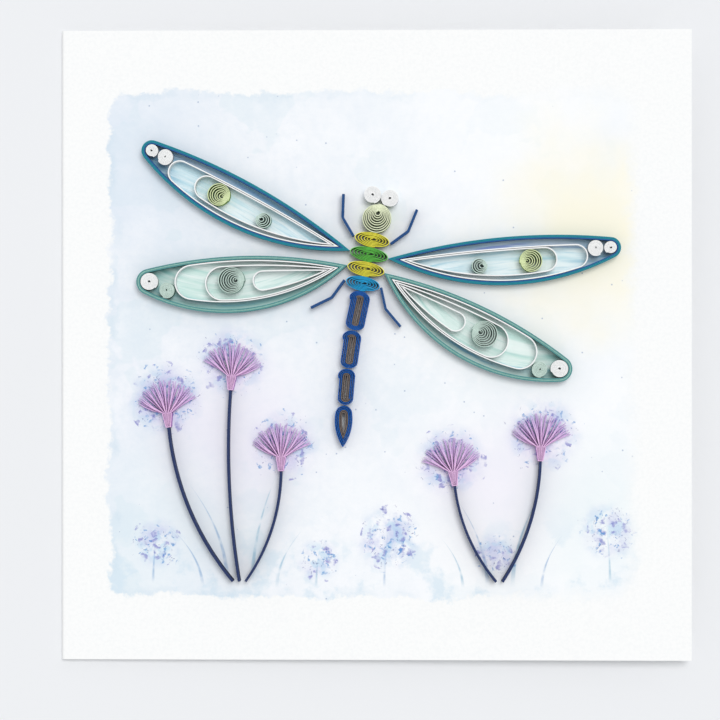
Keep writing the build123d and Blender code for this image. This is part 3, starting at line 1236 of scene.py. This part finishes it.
@dataclass
class Bloom:
    """A fringed strip rolled into a cup, its fingers fanned in two layers.

    A strand is drawn out from its root to the cup's mouth and on through the stops, shares of its free
    length, and has a girth and a height at its root and at each point. lifts and rises are for the lower and
    the upper layer: how far a strand starts off the layer's middle, and how far it rises at each point.
    """

    cup_length: float = 3.4
    foot_width: float = 1.3
    mouth_width: float = 2.4
    reach: float = 8.2
    spread: float = 128.0
    fingers: int = 15
    slit: float = 3.4
    slit_play: float = 1.1
    ply: float = 0.2
    root: float = 0.23
    layer: float = 1.5
    lifts: tuple[float, float] = (-0.02, 0.05)
    rises: tuple[float, float] = (0.04, -0.1)
    stops: tuple[float, ...] = (0.4, 0.75, 1.0)
    girths: tuple[float, ...] = (0.06, 0.15, 0.27, 0.3, 0.14)
    heights: tuple[float, ...] = (1.3, 1.2, 1.1, 0.9, 0.4)
    least_reach: float = 0.91
    curl: float = 10.0
    seed: int = 11

    def build(self, bench: Bench) -> bpy.types.Object:
        """Build the bloom, with its foot at the origin and its fan towards +Y.

        Args:
            bench: Holds the papers.

        Returns:
            The bloom.
        """
        chance = random.Random(self.seed)
        material = bench.paper(LILAC)
        pieces = [self.cup(material)]
        for number in range(self.fingers):
            pieces += [self.strand(number, side, chance, material) for side in (-0.5, 0.5)]
        bloom = join(pieces)
        share = bloom.data.attributes.new("reach", "FLOAT", "POINT")
        for point in bloom.data.vertices:
            share.data[point.index].value = point.co.xy.length / (self.cup_length + self.reach)
        return bloom

    def cup(self, material: bpy.types.Material) -> bpy.types.Object:
        """Fold the strip that holds the fringe together, open at its mouth.

        Args:
            material: The paper.

        Returns:
            The cup.
        """
        foot = self.foot_width / 2 - self.ply / 2
        mouth = self.mouth_width / 2 - self.ply / 2
        side = Vector((foot - mouth, self.ply / 2 - self.cup_length))
        strip = Strip("cup", Vector((-mouth, self.cup_length)))
        strip.run(Vector((-side.x, side.y)))
        strip.run(Vector((2 * foot, 0.0)))
        strip.run(Vector((-side.x, -side.y)))
        return strip.finish(self.ply, material)

    def spine(self, across: float, heading: float, chance: random.Random) -> list[Vector]:
        """Lay out a strand from the cup's mouth to its tip.

        Args:
            across: The strand's place in the fan, from -0.5 to 0.5.
            heading: Where it points, in degrees from +X.
            chance: Source of the small differences between strands.

        Returns:
            The points that it passes.
        """
        mouth = Vector((-(self.mouth_width - 2 * self.ply - self.girths[1]) * across, self.cup_length))
        reach = self.reach * chance.uniform(self.least_reach, 1.0)
        end = Vector((0.0, self.cup_length)) + towards(heading) * reach
        curl = chance.uniform(-self.curl, self.curl)
        points = [mouth]
        for share in self.stops:
            bow = math.sin(math.pi * share) * math.tan(math.radians(curl)) * self.reach / 4
            points.append(mouth.lerp(end, share) + towards(heading + 90) * bow)
        return points

    def strand(
        self, number: int, side: float, chance: random.Random, material: bpy.types.Material
    ) -> bpy.types.Object:
        """Draw out one of the two strands of a slit finger.

        Args:
            number: The finger's place in the fan, from the right.
            side: Which half of the finger it is.
            chance: Source of the small differences between strands.
            material: The paper.

        Returns:
            The strand.
        """
        slit = self.slit * side + chance.uniform(-self.slit_play, self.slit_play)
        across = number / (self.fingers - 1) - 0.5 + slit / self.spread
        heading = 90.0 + self.spread * across
        inner = self.foot_width + (self.mouth_width - self.foot_width) * self.root / self.cup_length
        spot = Vector((-(inner - 2 * self.ply - self.girths[0]) * across, self.root))
        layer = number % 2
        level = self.layer * (0.5 + layer) + self.lifts[layer]
        rise = self.rises[layer]
        bpy.ops.object.select_all(action="DESELECT")
        bpy.ops.mesh.primitive_plane_add(
            size=1.0, location=(spot.x, spot.y, level), rotation=(math.pi / 2, 0.0, math.pi)
        )
        piece = bpy.context.active_object
        piece.name = "strand"
        piece.scale = (self.girths[0], self.heights[0], 1.0)
        bpy.ops.object.transform_apply(location=True, rotation=True, scale=True)
        bpy.ops.object.mode_set(mode="EDIT")
        bpy.ops.mesh.select_all(action="SELECT")
        for step, stop in enumerate(self.spine(across, heading, chance), start=1):
            move = stop - spot
            level += rise
            bpy.ops.mesh.extrude_region_move(TRANSFORM_OT_translate={"value": (move.x, move.y, rise)})
            girth = self.girths[step] / self.girths[step - 1]
            height = self.heights[step] / self.heights[step - 1]
            bpy.ops.transform.resize(value=(girth, girth, height), center_override=(stop.x, stop.y, level))
            if step == 1:
                turn = math.radians(heading - 90.0)
                bpy.ops.transform.rotate(
                    value=-turn, orient_axis="Z", center_override=(stop.x, stop.y, level)
                )
            spot = stop
        bpy.ops.object.mode_set(mode="OBJECT")
        piece.data.materials.append(material)
        face_outwards(piece)
        return piece


@dataclass
class Flowers:
    """Stems on edge, each with a bloom in line with its upper end."""

    card_size: float = 152.4
    foot_share: float = -0.374
    feet: tuple[float, ...] = (-0.226, -0.216, -0.206, 0.190, 0.200)
    tops: tuple[tuple[float, float], ...] = (
        (-0.328, -0.131),
        (-0.230, -0.072),
        (-0.150, -0.200),
        (0.125, -0.223),
        (0.260, -0.184),
    )
    bows: tuple[float, ...] = (0.020, 0.009, -0.014, 0.012, -0.014)
    ply: float = 0.28
    stem: float = 0.6
    stem_runs: int = 32
    bloom: Bloom = field(default_factory=Bloom)

    def build(self, bench: Bench, front: Matrix) -> None:
        """Build all the flowers on the card's front.

        Args:
            bench: Holds the papers and lays the pieces.
            front: Where the middle of the front face is.
        """
        pattern = self.bloom.build(bench)
        spare = [pattern] + [bench.copy(pattern) for _ in self.feet[1:]]
        for number, (foot, top, bow) in enumerate(zip(self.feet, self.tops, self.bows), start=1):
            start = Vector((foot, self.foot_share)) * self.card_size
            end = Vector(top) * self.card_size
            stem, heading = self.build_stem(bench, start, end, bow * self.card_size)
            bench.lay(stem, f"stem_{number}", Paper.NAVY, front)
            place = front @ at(end + towards(heading) * GLUE_GAP, heading - 90)
            if number % 2 == 0:
                place = place @ Matrix.Scale(-1.0, 4, (1.0, 0.0, 0.0))
            bench.lay(spare[number - 1], f"bloom_{number}", Paper.LILAC, place)

    def build_stem(
        self, bench: Bench, start: Vector, end: Vector, bow: float
    ) -> tuple[bpy.types.Object, float]:
        """Bend the two plies of a stem side by side.

        Args:
            bench: Holds the papers.
            start: Foot of the stem.
            end: Top of the stem.
            bow: How far its middle stands to the left of the straight line, looking along it.

        Returns:
            The stem, and its heading at the top.
        """
        chord = end - start
        radius = (chord.length**2 / 4 + bow**2) / (2 * abs(bow))
        side = math.copysign(1.0, bow)
        across = Vector((-chord.y, chord.x)).normalized() * side
        centre = start + chord / 2 + across * (abs(bow) - radius)
        first = bearing(centre, start)
        sweep = (bearing(centre, end) - first + 180.0) % 360.0 - 180.0
        plies = []
        for shift in (-1.0, 1.0):
            away = towards(first) * (shift * (self.stem - self.ply) / 2)
            strip = Strip("stem_ply", start + away)
            strip.bend(centre, sweep, self.stem_runs)
            plies.append(strip.finish(self.ply, bench.paper(NAVY)))
        return join(plies), first + sweep + math.copysign(90.0, sweep)


@dataclass(frozen=True)
class Stain:
    """Uneven patches of one tone on the print."""

    mottle: Mottle
    tone: str
    share: float

    def lay(self, desk: NodeDesk, flat: Value, under: Value, *limits: Value) -> bpy.types.NodeSocket:
        """Lay the patches over a colour.

        Args:
            desk: The card's nodes.
            flat: Place on the front.
            under: Colour below.
            limits: Shares that hold the patches back.

        Returns:
            The colour with the patches on it.
        """
        share = desk.product(self.mottle.cover(desk, flat), *limits, self.share)
        return desk.tint(share, under, ink(self.tone))


@dataclass(frozen=True)
class Pool:
    """A soft pool of colour in the wash, full inside one share of its radius and gone at another."""

    middle: tuple[float, float]
    radius: float
    tone: str
    share: float
    wave_scale: float = 0.06
    wave_share: float = 0.9
    full: float = 0.55
    gone: float = 1.45

    def lay(self, desk: NodeDesk, flat: Value, under: Value) -> bpy.types.NodeSocket:
        """Lay the pool over a colour.

        Args:
            desk: The card's nodes.
            flat: Place on the front.
            under: Colour below.

        Returns:
            The colour with the pool on it.
        """
        wave = desk.noise(flat, self.wave_scale, detail=3.0)
        away = desk.number("MULTIPLY_ADD", wave, self.radius * self.wave_share, desk.away(flat, self.middle))
        soft = desk.soft_fall(away, self.radius * self.full, self.radius * self.gone)
        return desk.tint(desk.product(soft, self.share), under, ink(self.tone))


@dataclass(frozen=True)
class Wash:
    """The pale ground of the print, brushed on with a ragged border.

    It grows paler from left to right, and its border softer. Pairs of numbers are where something begins and
    where it is full, and waves are how fine each wave of the border is and how deep.
    """

    middle: tuple[float, float] = (-1.0, 0.1)
    half: tuple[float, float] = (63.6, 61.0)
    corner: float = 6.0
    waves: tuple[tuple[float, float], ...] = ((0.05, 7.0), (0.28, 4.5), (1.1, 1.8))
    rim: float = 0.6
    faint_side: tuple[float, float] = (10.0, 66.0)
    faint_inwards: float = 3.4
    faint_outwards: float = 1.2
    tones: tuple[str, str] = ("F0F3F8", "FAFBFC")
    paling: tuple[float, float] = (-66.0, 40.0)
    paled: float = 0.7
    cloud: Stain = Stain(Mottle(0.032, 0.4, 0.66, 5.0, 0.62), "DDE7F2", 0.55)
    blot: Stain = Stain(Mottle(0.042, 0.53, 0.555, 4.0, 0.55), "D9E8EF", 0.4)
    drift: Stain = Stain(Mottle(0.075, 0.45, 0.7, 4.0, 0.6), "FCFCFE", 0.5)
    grain: Stain = Stain(Mottle(0.5, 0.38, 0.7, 6.0, 0.72), "D8E3EE", 0.24)
    pools: tuple[Pool, ...] = (
        Pool((54.0, 26.0), 36.0, "FDF7DF", 0.85),
        Pool((-52.0, -46.0), 32.0, "E3EEF3", 0.5),
        Pool((-58.0, 44.0), 28.0, "DCE6F2", 0.5),
        Pool((-34.0, -22.0), 25.0, "F0EAF7", 0.5),
        Pool((30.0, -34.0), 25.0, "F1ECF8", 0.5),
        Pool((52.0, -40.0), 24.0, "E9F3F4", 0.5),
    )
    meadow: Stain = Stain(Mottle(0.085, 0.5, 0.6, 5.0, 0.6), "CFE2EF", 0.6)
    meadow_height: tuple[float, float] = (-60.0, -34.0)
    tide: Stain = Stain(Mottle(0.1, 0.38, 0.62, 2.0), "CBDDEA", 0.45)
    tide_line: tuple[float, float] = (-2.6, -0.4)
    speck_tone: str = "7E97BC"
    speck_scale: float = 0.42
    speck_size: tuple[float, float] = (0.05, 0.12)
    speck_rarity: float = 0.86
    speck_share: float = 0.55

    def border(self, desk: NodeDesk, flat: Value) -> bpy.types.NodeSocket:
        """Distance past the ragged border, negative inside it.

        Args:
            desk: The card's nodes.
            flat: Place on the front.

        Returns:
            The distance.
        """
        aside = desk.vector("ABSOLUTE", desk.vector("SUBTRACT", flat, (*self.middle, 0.0)))
        core = tuple(half - self.corner for half in self.half)
        past = desk.vector("MAXIMUM", desk.vector("SUBTRACT", aside, (*core, 0.0)), (0.0, 0.0, 0.0))
        border = desk.number("SUBTRACT", desk.vector("LENGTH", past), self.corner)
        for scale, depth in self.waves:
            wave = desk.number("SUBTRACT", desk.noise(flat, scale, detail=3.0, roughness=0.6), 0.5)
            border = desk.number("MULTIPLY_ADD", wave, depth, border)
        return border

    def lay(self, desk: NodeDesk, flat: Value) -> tuple[bpy.types.NodeSocket, bpy.types.NodeSocket]:
        """Lay the wash.

        Args:
            desk: The card's nodes.
            flat: Place on the front.

        Returns:
            The wash's colour, and the share of it inside its border.
        """
        x, y, _ = desk.parts(flat)
        border = self.border(desk, flat)
        faint = desk.soft_step(x, *self.faint_side)
        inner = desk.number("MULTIPLY_ADD", faint, -self.faint_inwards, -self.rim)
        outer = desk.number("MULTIPLY_ADD", faint, self.faint_outwards, self.rim)
        panel = desk.soft_fall(border, inner, outer)

        across = desk.soft_step(x, *self.paling)
        rest = desk.number("MULTIPLY_ADD", across, -self.paled, 1.0)
        left, right = self.tones
        colour = desk.tint(across, ink(left), ink(right))
        colour = self.cloud.lay(desk, flat, colour, rest)
        colour = self.blot.lay(desk, flat, colour, rest)
        colour = self.drift.lay(desk, flat, colour)
        colour = self.grain.lay(desk, flat, colour, rest)
        for pool in self.pools:
            colour = pool.lay(desk, flat, colour)
        colour = self.meadow.lay(desk, flat, colour, desk.soft_fall(y, *self.meadow_height))
        colour = self.tide.lay(desk, flat, colour, desk.soft_step(border, *self.tide_line), rest)

        away, chance = desk.cells(flat, self.speck_scale)
        rare = desk.number("GREATER_THAN", chance, self.speck_rarity)
        speck = desk.product(desk.soft_fall(away, *self.speck_size), rare, self.speck_share)
        return desk.tint(speck, colour, ink(self.speck_tone)), panel


@dataclass(frozen=True)
class WingBrush:
    """Long brush strokes inside the wings, deepest along the free edge and in the tip.

    Pairs of numbers are where something begins and ends, measured from the wing's edge (negative inside), or
    along the wing for line_start (from its root) and tip_start (from its tip). The strokes are drawn out
    along the wing by pull, and the two halves of the figure read them half_shift apart. A dryness is how much
    the strokes add to a tone, and how much of it is there without them.
    """

    pull: float = 0.06
    half_shift: float = 11.0
    broad: Mottle = Mottle(0.4, 0.4, 0.66, 4.0, 0.6)
    broad_share: float = 0.8
    fine: Mottle = Mottle(1.3, 0.5, 0.68, 3.0, 0.6)
    fine_share: float = 0.4
    band: tuple[float, float] = (-3.6, -1.2)
    band_dryness: tuple[float, float] = (0.6, 0.3)
    line_near: tuple[float, float] = (-2.1, -1.2)
    line_far: tuple[float, float] = (-3.3, -2.4)
    line_start: tuple[float, float] = (6.0, 22.0)
    line_dryness: tuple[float, float] = (0.6, 0.2)
    tip_start: tuple[float, float] = (-15.0, -5.0)
    tip_depth: tuple[float, float] = (-4.5, -1.6)
    tip_dryness: tuple[float, float] = (0.5, 0.4)
    edge: tuple[float, float] = (-0.9, -0.1)
    share: float = 0.92

    def lay(
        self, desk: NodeDesk, mirrored: Value, under: Value, wing: Wing, root: Vector
    ) -> bpy.types.NodeSocket:
        """Brush one pair of wings.

        Args:
            desk: The card's nodes.
            mirrored: Place on the right half of the figure, and which half it stands for.
            under: Colour of the print below.
            wing: The pair of wings.
            root: Where the right-hand wing joins the thorax.

        Returns:
            The colour with the strokes on it.
        """
        turned = desk.vector("SUBTRACT", mirrored, (*root, 0.0))
        along = desk.along(turned, towards(wing.angle))
        spot = desk.gather(along, desk.along(turned, towards(wing.angle + 90)))
        free, depth = self.measure(desk, spot, along, wing)
        half = desk.product(desk.parts(mirrored)[2], self.half_shift)
        strokes = desk.gather(desk.product(along, self.pull), free, half)
        broad = self.broad.cover(desk, strokes)
        fine = self.fine.cover(desk, strokes)

        tint = wing.tint
        colour = desk.tint(desk.product(broad, self.broad_share), ink(tint.ground), ink(tint.streak))
        colour = desk.tint(desk.product(fine, self.fine_share), colour, ink(tint.band))
        patchy = desk.number("MULTIPLY_ADD", broad, *self.band_dryness)
        colour = desk.tint(desk.product(desk.soft_step(free, *self.band), patchy), colour, ink(tint.band))
        line = desk.product(desk.soft_step(free, *self.line_far), desk.soft_fall(free, *self.line_near))
        patchy = desk.number("MULTIPLY_ADD", fine, *self.line_dryness)
        line = desk.product(line, patchy, desk.soft_step(along, *self.line_start))
        colour = desk.tint(line, colour, ink(tint.accent))
        begin, full = self.tip_start
        tip = desk.soft_step(along, wing.length + begin, wing.length + full)
        patchy = desk.number("MULTIPLY_ADD", broad, *self.tip_dryness)
        tip = desk.product(tip, desk.soft_step(depth, *self.tip_depth), patchy)
        colour = desk.tint(tip, colour, ink(tint.tip))
        inside = desk.soft_fall(depth, *self.edge)
        return desk.tint(desk.product(inside, self.share), under, colour)

    def measure(
        self, desk: NodeDesk, spot: Value, along: Value, wing: Wing
    ) -> tuple[bpy.types.NodeSocket, bpy.types.NodeSocket]:
        """Measure how far a place lies past the wing's edge, negative inside.

        Args:
            desk: The card's nodes.
            spot: Place on the wing.
            along: Place along the wing.
            wing: The pair of wings.

        Returns:
            The distance past the free edge alone, and past whatever edge is nearest, with the round tip.
        """
        almond = wing.almond
        lead = desk.number("SUBTRACT", desk.away(spot, almond.lead_centre), almond.lead)
        trail = desk.number("SUBTRACT", desk.away(spot, almond.trail_centre), almond.trail)
        tip, tip_radius = almond.circle(wing.length)
        before = desk.product(desk.number("LESS_THAN", along, tip.x), wing.length)
        past_tip = desk.number("SUBTRACT", desk.away(spot, tip), tip_radius)
        past_tip = desk.number("SUBTRACT", past_tip, before)
        depth = desk.number("MAXIMUM", desk.number("MAXIMUM", lead, trail), past_tip)
        return lead if wing.free_edge is Edge.LEADING else trail, depth


@dataclass(frozen=True)
class Blade:
    """A printed blade of grass, drawn with one stroke that leans over as it rises."""

    foot: tuple[float, float]
    height: float
    lean: float
    width: float
    edge: tuple[float, float] = (-0.25, 0.12)
    fade_in: float = 0.25

    def cover(self, desk: NodeDesk, flat: Value) -> bpy.types.NodeSocket:
        """Share of the stroke at each place.

        Args:
            desk: The card's nodes.
            flat: Place on the front.

        Returns:
            The share.
        """
        x, y, _ = desk.parts(flat)
        rise = desk.number("DIVIDE", desk.number("SUBTRACT", y, self.foot[1]), self.height)
        lean = desk.number("MULTIPLY_ADD", desk.product(rise, rise), self.lean, self.foot[0])
        aside = desk.number("ABSOLUTE", desk.number("SUBTRACT", x, lean))
        half = desk.number("MULTIPLY_ADD", rise, -self.width / 2, self.width / 2)
        stroke = desk.soft_fall(desk.number("SUBTRACT", aside, half), *self.edge)
        ends = desk.product(desk.soft_step(rise, 0.0, self.fade_in), desk.number("LESS_THAN", rise, 1.0))
        return desk.product(stroke, ends)


@dataclass(frozen=True)
class Grass:
    """Pale blades along the foot of the wash, in two tones by turns."""

    tones: tuple[str, str] = ("8FB2D6", "9CC3D8")
    dry: Mottle = Mottle(0.3, 0.25, 0.6)
    share: float = 0.75
    blades: tuple[Blade, ...] = (
        Blade((-36.0, -58.0), 24.0, -9.0, 1.3),
        Blade((-30.0, -59.0), 30.0, 7.0, 1.2),
        Blade((-42.0, -59.0), 15.0, -8.0, 1.0),
        Blade((-24.0, -59.0), 14.0, 6.0, 1.0),
        Blade((27.0, -59.0), 21.0, -7.0, 1.2),
        Blade((33.0, -59.0), 25.0, 8.0, 1.3),
        Blade((40.0, -59.0), 13.0, 5.0, 0.9),
        Blade((21.0, -59.0), 12.0, -5.0, 0.9),
        Blade((-54.0, -58.0), 13.0, 1.0, 0.8),
        Blade((-14.5, -59.0), 10.0, 1.0, 0.8),
        Blade((2.0, -59.0), 14.0, 1.0, 0.8),
        Blade((56.5, -58.0), 15.0, -1.0, 0.8),
    )

    def lay(self, desk: NodeDesk, flat: Value, under: Value) -> bpy.types.NodeSocket:
        """Brush the blades on.

        Args:
            desk: The card's nodes.
            flat: Place on the front.
            under: Colour of the print below.

        Returns:
            The colour with the grass on it.
        """
        dry = self.dry.cover(desk, flat)
        colour = under
        for number, blade in enumerate(self.blades):
            tone = self.tones[number % len(self.tones)]
            colour = desk.tint(desk.product(blade.cover(desk, flat), dry, self.share), colour, ink(tone))
        return colour


@dataclass(frozen=True)
class Dab:
    """Brush dabs of one size and tone, scattered by so many per millimetre."""

    scale: float
    tone: str
    size: float
    share: float


@dataclass(frozen=True)
class Blossom:
    """Sprays of small dabs behind the flowers, on two softer tones that bleed into the wash.

    A spray is a middle and a radius. It is full inside one share of the radius and gone at its end.
    """

    sprays: tuple[tuple[tuple[float, float], float], ...] = (
        ((-51.0, -13.0), 10.5),
        ((-35.0, -4.0), 10.0),
        ((-22.5, -24.0), 9.5),
        ((18.0, -28.0), 10.0),
        ((40.5, -21.5), 10.5),
        ((3.0, -47.0), 9.0),
        ((56.0, -45.0), 8.0),
        ((-53.0, -48.0), 7.0),
        ((-14.0, -52.0), 6.0),
        ((29.0, -51.0), 6.5),
    )
    full: float = 0.3
    bleed: Stain = Stain(Mottle(0.17, 0.36, 0.66, 4.0, 0.6), "B9BDE8", 0.6)
    pale: Stain = Stain(Mottle(0.26, 0.5, 0.6), "A9D2EC", 0.45)
    wet: Mottle = Mottle(0.8, 0.3, 0.62)
    sway_scales: tuple[float, float] = (0.55, 0.62)
    sway: float = 4.0
    dabs: tuple[Dab, ...] = (
        Dab(0.5, "7C7CC6", 0.5, 0.75),
        Dab(0.8, "4F93D0", 0.4, 0.75),
        Dab(1.4, "4E5496", 0.32, 0.6),
    )
    dab_chance: float = 0.75
    dab_core: float = 0.55

    def lay(self, desk: NodeDesk, flat: Value, under: Value) -> bpy.types.NodeSocket:
        """Dab the sprays on.

        Args:
            desk: The card's nodes.
            flat: Place on the front.
            under: Colour of the print below.

        Returns:
            The colour with the sprays on it.
        """
        cover: Value = 0.0
        for middle, radius in self.sprays:
            soft = desk.soft_fall(desk.away(flat, middle), radius * self.full, radius)
            cover = desk.number("MAXIMUM", cover, soft)
        colour = self.bleed.lay(desk, flat, under, cover)
        colour = self.pale.lay(desk, flat, colour, cover)
        wet = self.wet.cover(desk, flat)
        sway = desk.gather(*(desk.noise(flat, scale, detail=3.0) for scale in self.sway_scales))
        brushed = desk.vector("ADD", flat, desk.vector("SCALE", sway, scale=self.sway))
        for dab in self.dabs:
            away, chance = desk.cells(brushed, dab.scale)
            present = desk.number("LESS_THAN", chance, desk.product(cover, self.dab_chance))
            dot = desk.product(desk.soft_fall(away, dab.size * self.dab_core, dab.size), present)
            colour = desk.tint(desk.product(dot, wet, dab.share), colour, ink(dab.tone))
        return colour


@dataclass
class Card:
    """The folded sheet, with a pale wash printed on its front."""

    width: float = 152.4
    fold: float = 0.76
    spring: float = 1.2
    between_panels: float = 1.3
    figure_spot: tuple[float, float] = (-2.0, 20.0)
    figure_turn: float = -12.0
    sheet_tones: tuple[str, str] = ("FAFAF9", "F3F4F4")
    tooth: Mottle = Mottle(1.3, 0.34, 0.6, 4.0, 0.6)
    fleck_share: float = 0.5
    roughness: tuple[float, float] = (0.6, 0.78)
    relief: float = 0.012
    wash: Wash = Wash()
    wing_brush: WingBrush = WingBrush()
    grass: Grass = Grass()
    blossom: Blossom = Blossom()

    def front(self) -> Matrix:
        """Place of the middle of the front face, in millimetres.

        Returns:
            The place.
        """
        pivot = Matrix.Translation((self.fold - self.width / 2, 0.0, self.fold))
        tilt = Matrix.Rotation(-math.radians(self.spring), 4, "Y")
        return pivot @ tilt @ Matrix.Translation((self.width / 2 - self.fold, 0.0, self.fold))

    def figure(self) -> Matrix:
        """Place of the dragonfly."""
        return self.front() @ at(Vector(self.figure_spot), self.figure_turn)

    def dress(self, card: bpy.types.Object, dragonfly: Dragonfly) -> None:
        """Give the folded sheet its paper and its print.

        Args:
            card: The folded sheet.
            dragonfly: The figure whose wings are tinted on the print.
        """
        desk = NodeDesk("printed card")
        x, y, z = desk.parts(desk.place)
        flat = desk.gather(x, y)
        tooth = self.tooth.wave(desk, desk.place)
        fleck = desk.product(desk.soft_fall(tooth, self.tooth.low, self.tooth.high), self.fleck_share)
        bare, flecked = self.sheet_tones
        white = desk.tint(fleck, ink(bare), ink(flecked))
        colour, panel = self.wash.lay(desk, flat)
        colour = self.tint_wings(desk, flat, colour, dragonfly)
        colour = self.grass.lay(desk, flat, colour)
        colour = self.blossom.lay(desk, flat, colour)
        facing_up = desk.number("GREATER_THAN", desk.parts(desk.normal)[2], 0.5)
        outer = desk.product(facing_up, desk.number("GREATER_THAN", z, self.between_panels), panel)
        material = desk.finish(desk.tint(outer, white, colour), tooth, self.roughness, self.relief)
        card.data.materials.clear()
        card.data.materials.append(material)
        LOG.info("card: printed")

    def tint_wings(
        self, desk: NodeDesk, flat: Value, under: Value, dragonfly: Dragonfly
    ) -> bpy.types.NodeSocket:
        """Brush a tint inside the wings.

        Args:
            desk: The card's nodes.
            flat: Place on the front.
            under: Colour of the wash below.
            dragonfly: The figure, whose two halves mirror each other.

        Returns:
            The colour with the tint on it.
        """
        around = desk.vector("SUBTRACT", flat, (*self.figure_spot, 0.0))
        across = desk.along(around, towards(self.figure_turn))
        ahead = desk.along(around, towards(self.figure_turn + 90))
        mirrored = desk.gather(desk.number("ABSOLUTE", across), ahead, desk.number("SIGN", across))
        colour = under
        for wing, row in ((dragonfly.forewing, "green"), (dragonfly.hindwing, "rear_yellow")):
            colour = self.wing_brush.lay(desk, mirrored, colour, wing, dragonfly.row(row))
        return colour


@dataclass
class Studio:
    """A pale floor, soft light and a camera straight above the card.

    The floor and the light are placed in metres, the camera in millimetres.
    """

    floor_size: float = 6.0
    floor_drop: float = 0.0002
    floor_tones: tuple[str, str] = ("EBECEE", "EEEFF1")
    floor_scale: float = 0.01
    light_place: tuple[float, float, float] = (0.26, 0.44, 1.42)
    light_breadth: float = 28.0
    light_strength: float = 1.46
    fill_strength: float = 0.6
    fill_colour: tuple[float, float, float, float] = (0.97, 0.985, 1.0, 1.0)
    backdrop_tone: str = "EFF0F2"
    look_at: tuple[float, float, float] = (-3.87, -3.63, 3.0)
    distance: float = 550.0
    field_width: float = 174.2
    sensor: float = 36.0
    nearest: float = 0.01

    def build(self) -> None:
        """Set up the floor, the light and the camera."""
        self.lay_floor()
        self.hang_lights()
        self.set_camera()
        bpy.context.scene.view_settings.view_transform = "Standard"

    def lay_floor(self) -> None:
        """Lay a plain pale floor just under the card."""
        bpy.ops.object.select_all(action="DESELECT")
        bpy.ops.mesh.primitive_plane_add(size=self.floor_size, location=(0.0, 0.0, -self.floor_drop))
        floor = bpy.context.active_object
        floor.name = "floor"
        bpy.ops.object.transform_apply(location=True, rotation=True, scale=True)
        desk = NodeDesk("floor")
        soft = desk.noise(desk.place, self.floor_scale)
        low, high = self.floor_tones
        colour = desk.tint(soft, ink(low), ink(high))
        floor.data.materials.append(desk.finish(colour, soft, (0.8, 0.9), 0.001))

    def hang_lights(self) -> None:
        """Let one broad soft light fall from above, and fill the rest from all sides."""
        lamp = bpy.data.lights.new("soft_light", "SUN")
        lamp.angle = math.radians(self.light_breadth)
        lamp.energy = self.light_strength
        soft_light = bpy.data.objects.new("soft_light", lamp)
        bpy.context.scene.collection.objects.link(soft_light)
        soft_light.location = self.light_place
        soft_light.rotation_euler = (-soft_light.location).to_track_quat("-Z", "Y").to_euler()

        world = bpy.data.worlds.new("fill")
        bpy.context.scene.world = world
        world.use_nodes = True
        nodes = world.node_tree.nodes
        links = world.node_tree.links
        fill = nodes["Background"]
        fill.inputs["Color"].default_value = self.fill_colour
        fill.inputs["Strength"].default_value = self.fill_strength
        backdrop = nodes.new("ShaderNodeBackground")
        backdrop.inputs["Color"].default_value = ink(self.backdrop_tone)
        rays = nodes.new("ShaderNodeLightPath")
        seen = rays.outputs["Is Camera Ray"]
        for kind in ("Is Glossy Ray", "Is Transmission Ray"):
            either = nodes.new("ShaderNodeMath")
            either.operation = "MAXIMUM"
            links.new(seen, either.inputs[0])
            links.new(rays.outputs[kind], either.inputs[1])
            seen = either.outputs["Value"]
        mix = nodes.new("ShaderNodeMixShader")
        links.new(seen, mix.inputs[0])
        links.new(fill.outputs[0], mix.inputs[1])
        links.new(backdrop.outputs[0], mix.inputs[2])
        links.new(mix.outputs[0], nodes["World Output"].inputs["Surface"])

    def set_camera(self) -> None:
        """Look straight down, with the photograph's field of view."""
        lens = bpy.data.cameras.new("camera")
        lens.sensor_width = self.sensor
        lens.lens = self.sensor * self.distance / self.field_width
        lens.clip_start = self.nearest
        camera = bpy.data.objects.new("camera", lens)
        bpy.context.scene.collection.objects.link(camera)
        x, y, z = self.look_at
        camera.location = (x * MM, y * MM, (z + self.distance) * MM)
        bpy.context.scene.camera = camera


def main() -> None:
    """Dress the card, build the quilled pieces and set the scene."""
    logging.basicConfig(level=logging.INFO, format="%(message)s")
    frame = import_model()
    bench = Bench()
    card = Card()
    dragonfly = Dragonfly()
    dragonfly.build(bench, card.figure())
    Flowers().build(bench, card.front())
    card.dress(frame["nodes"]["card"], dragonfly)
    Studio().build()


if __name__ == "__main__":
    main()
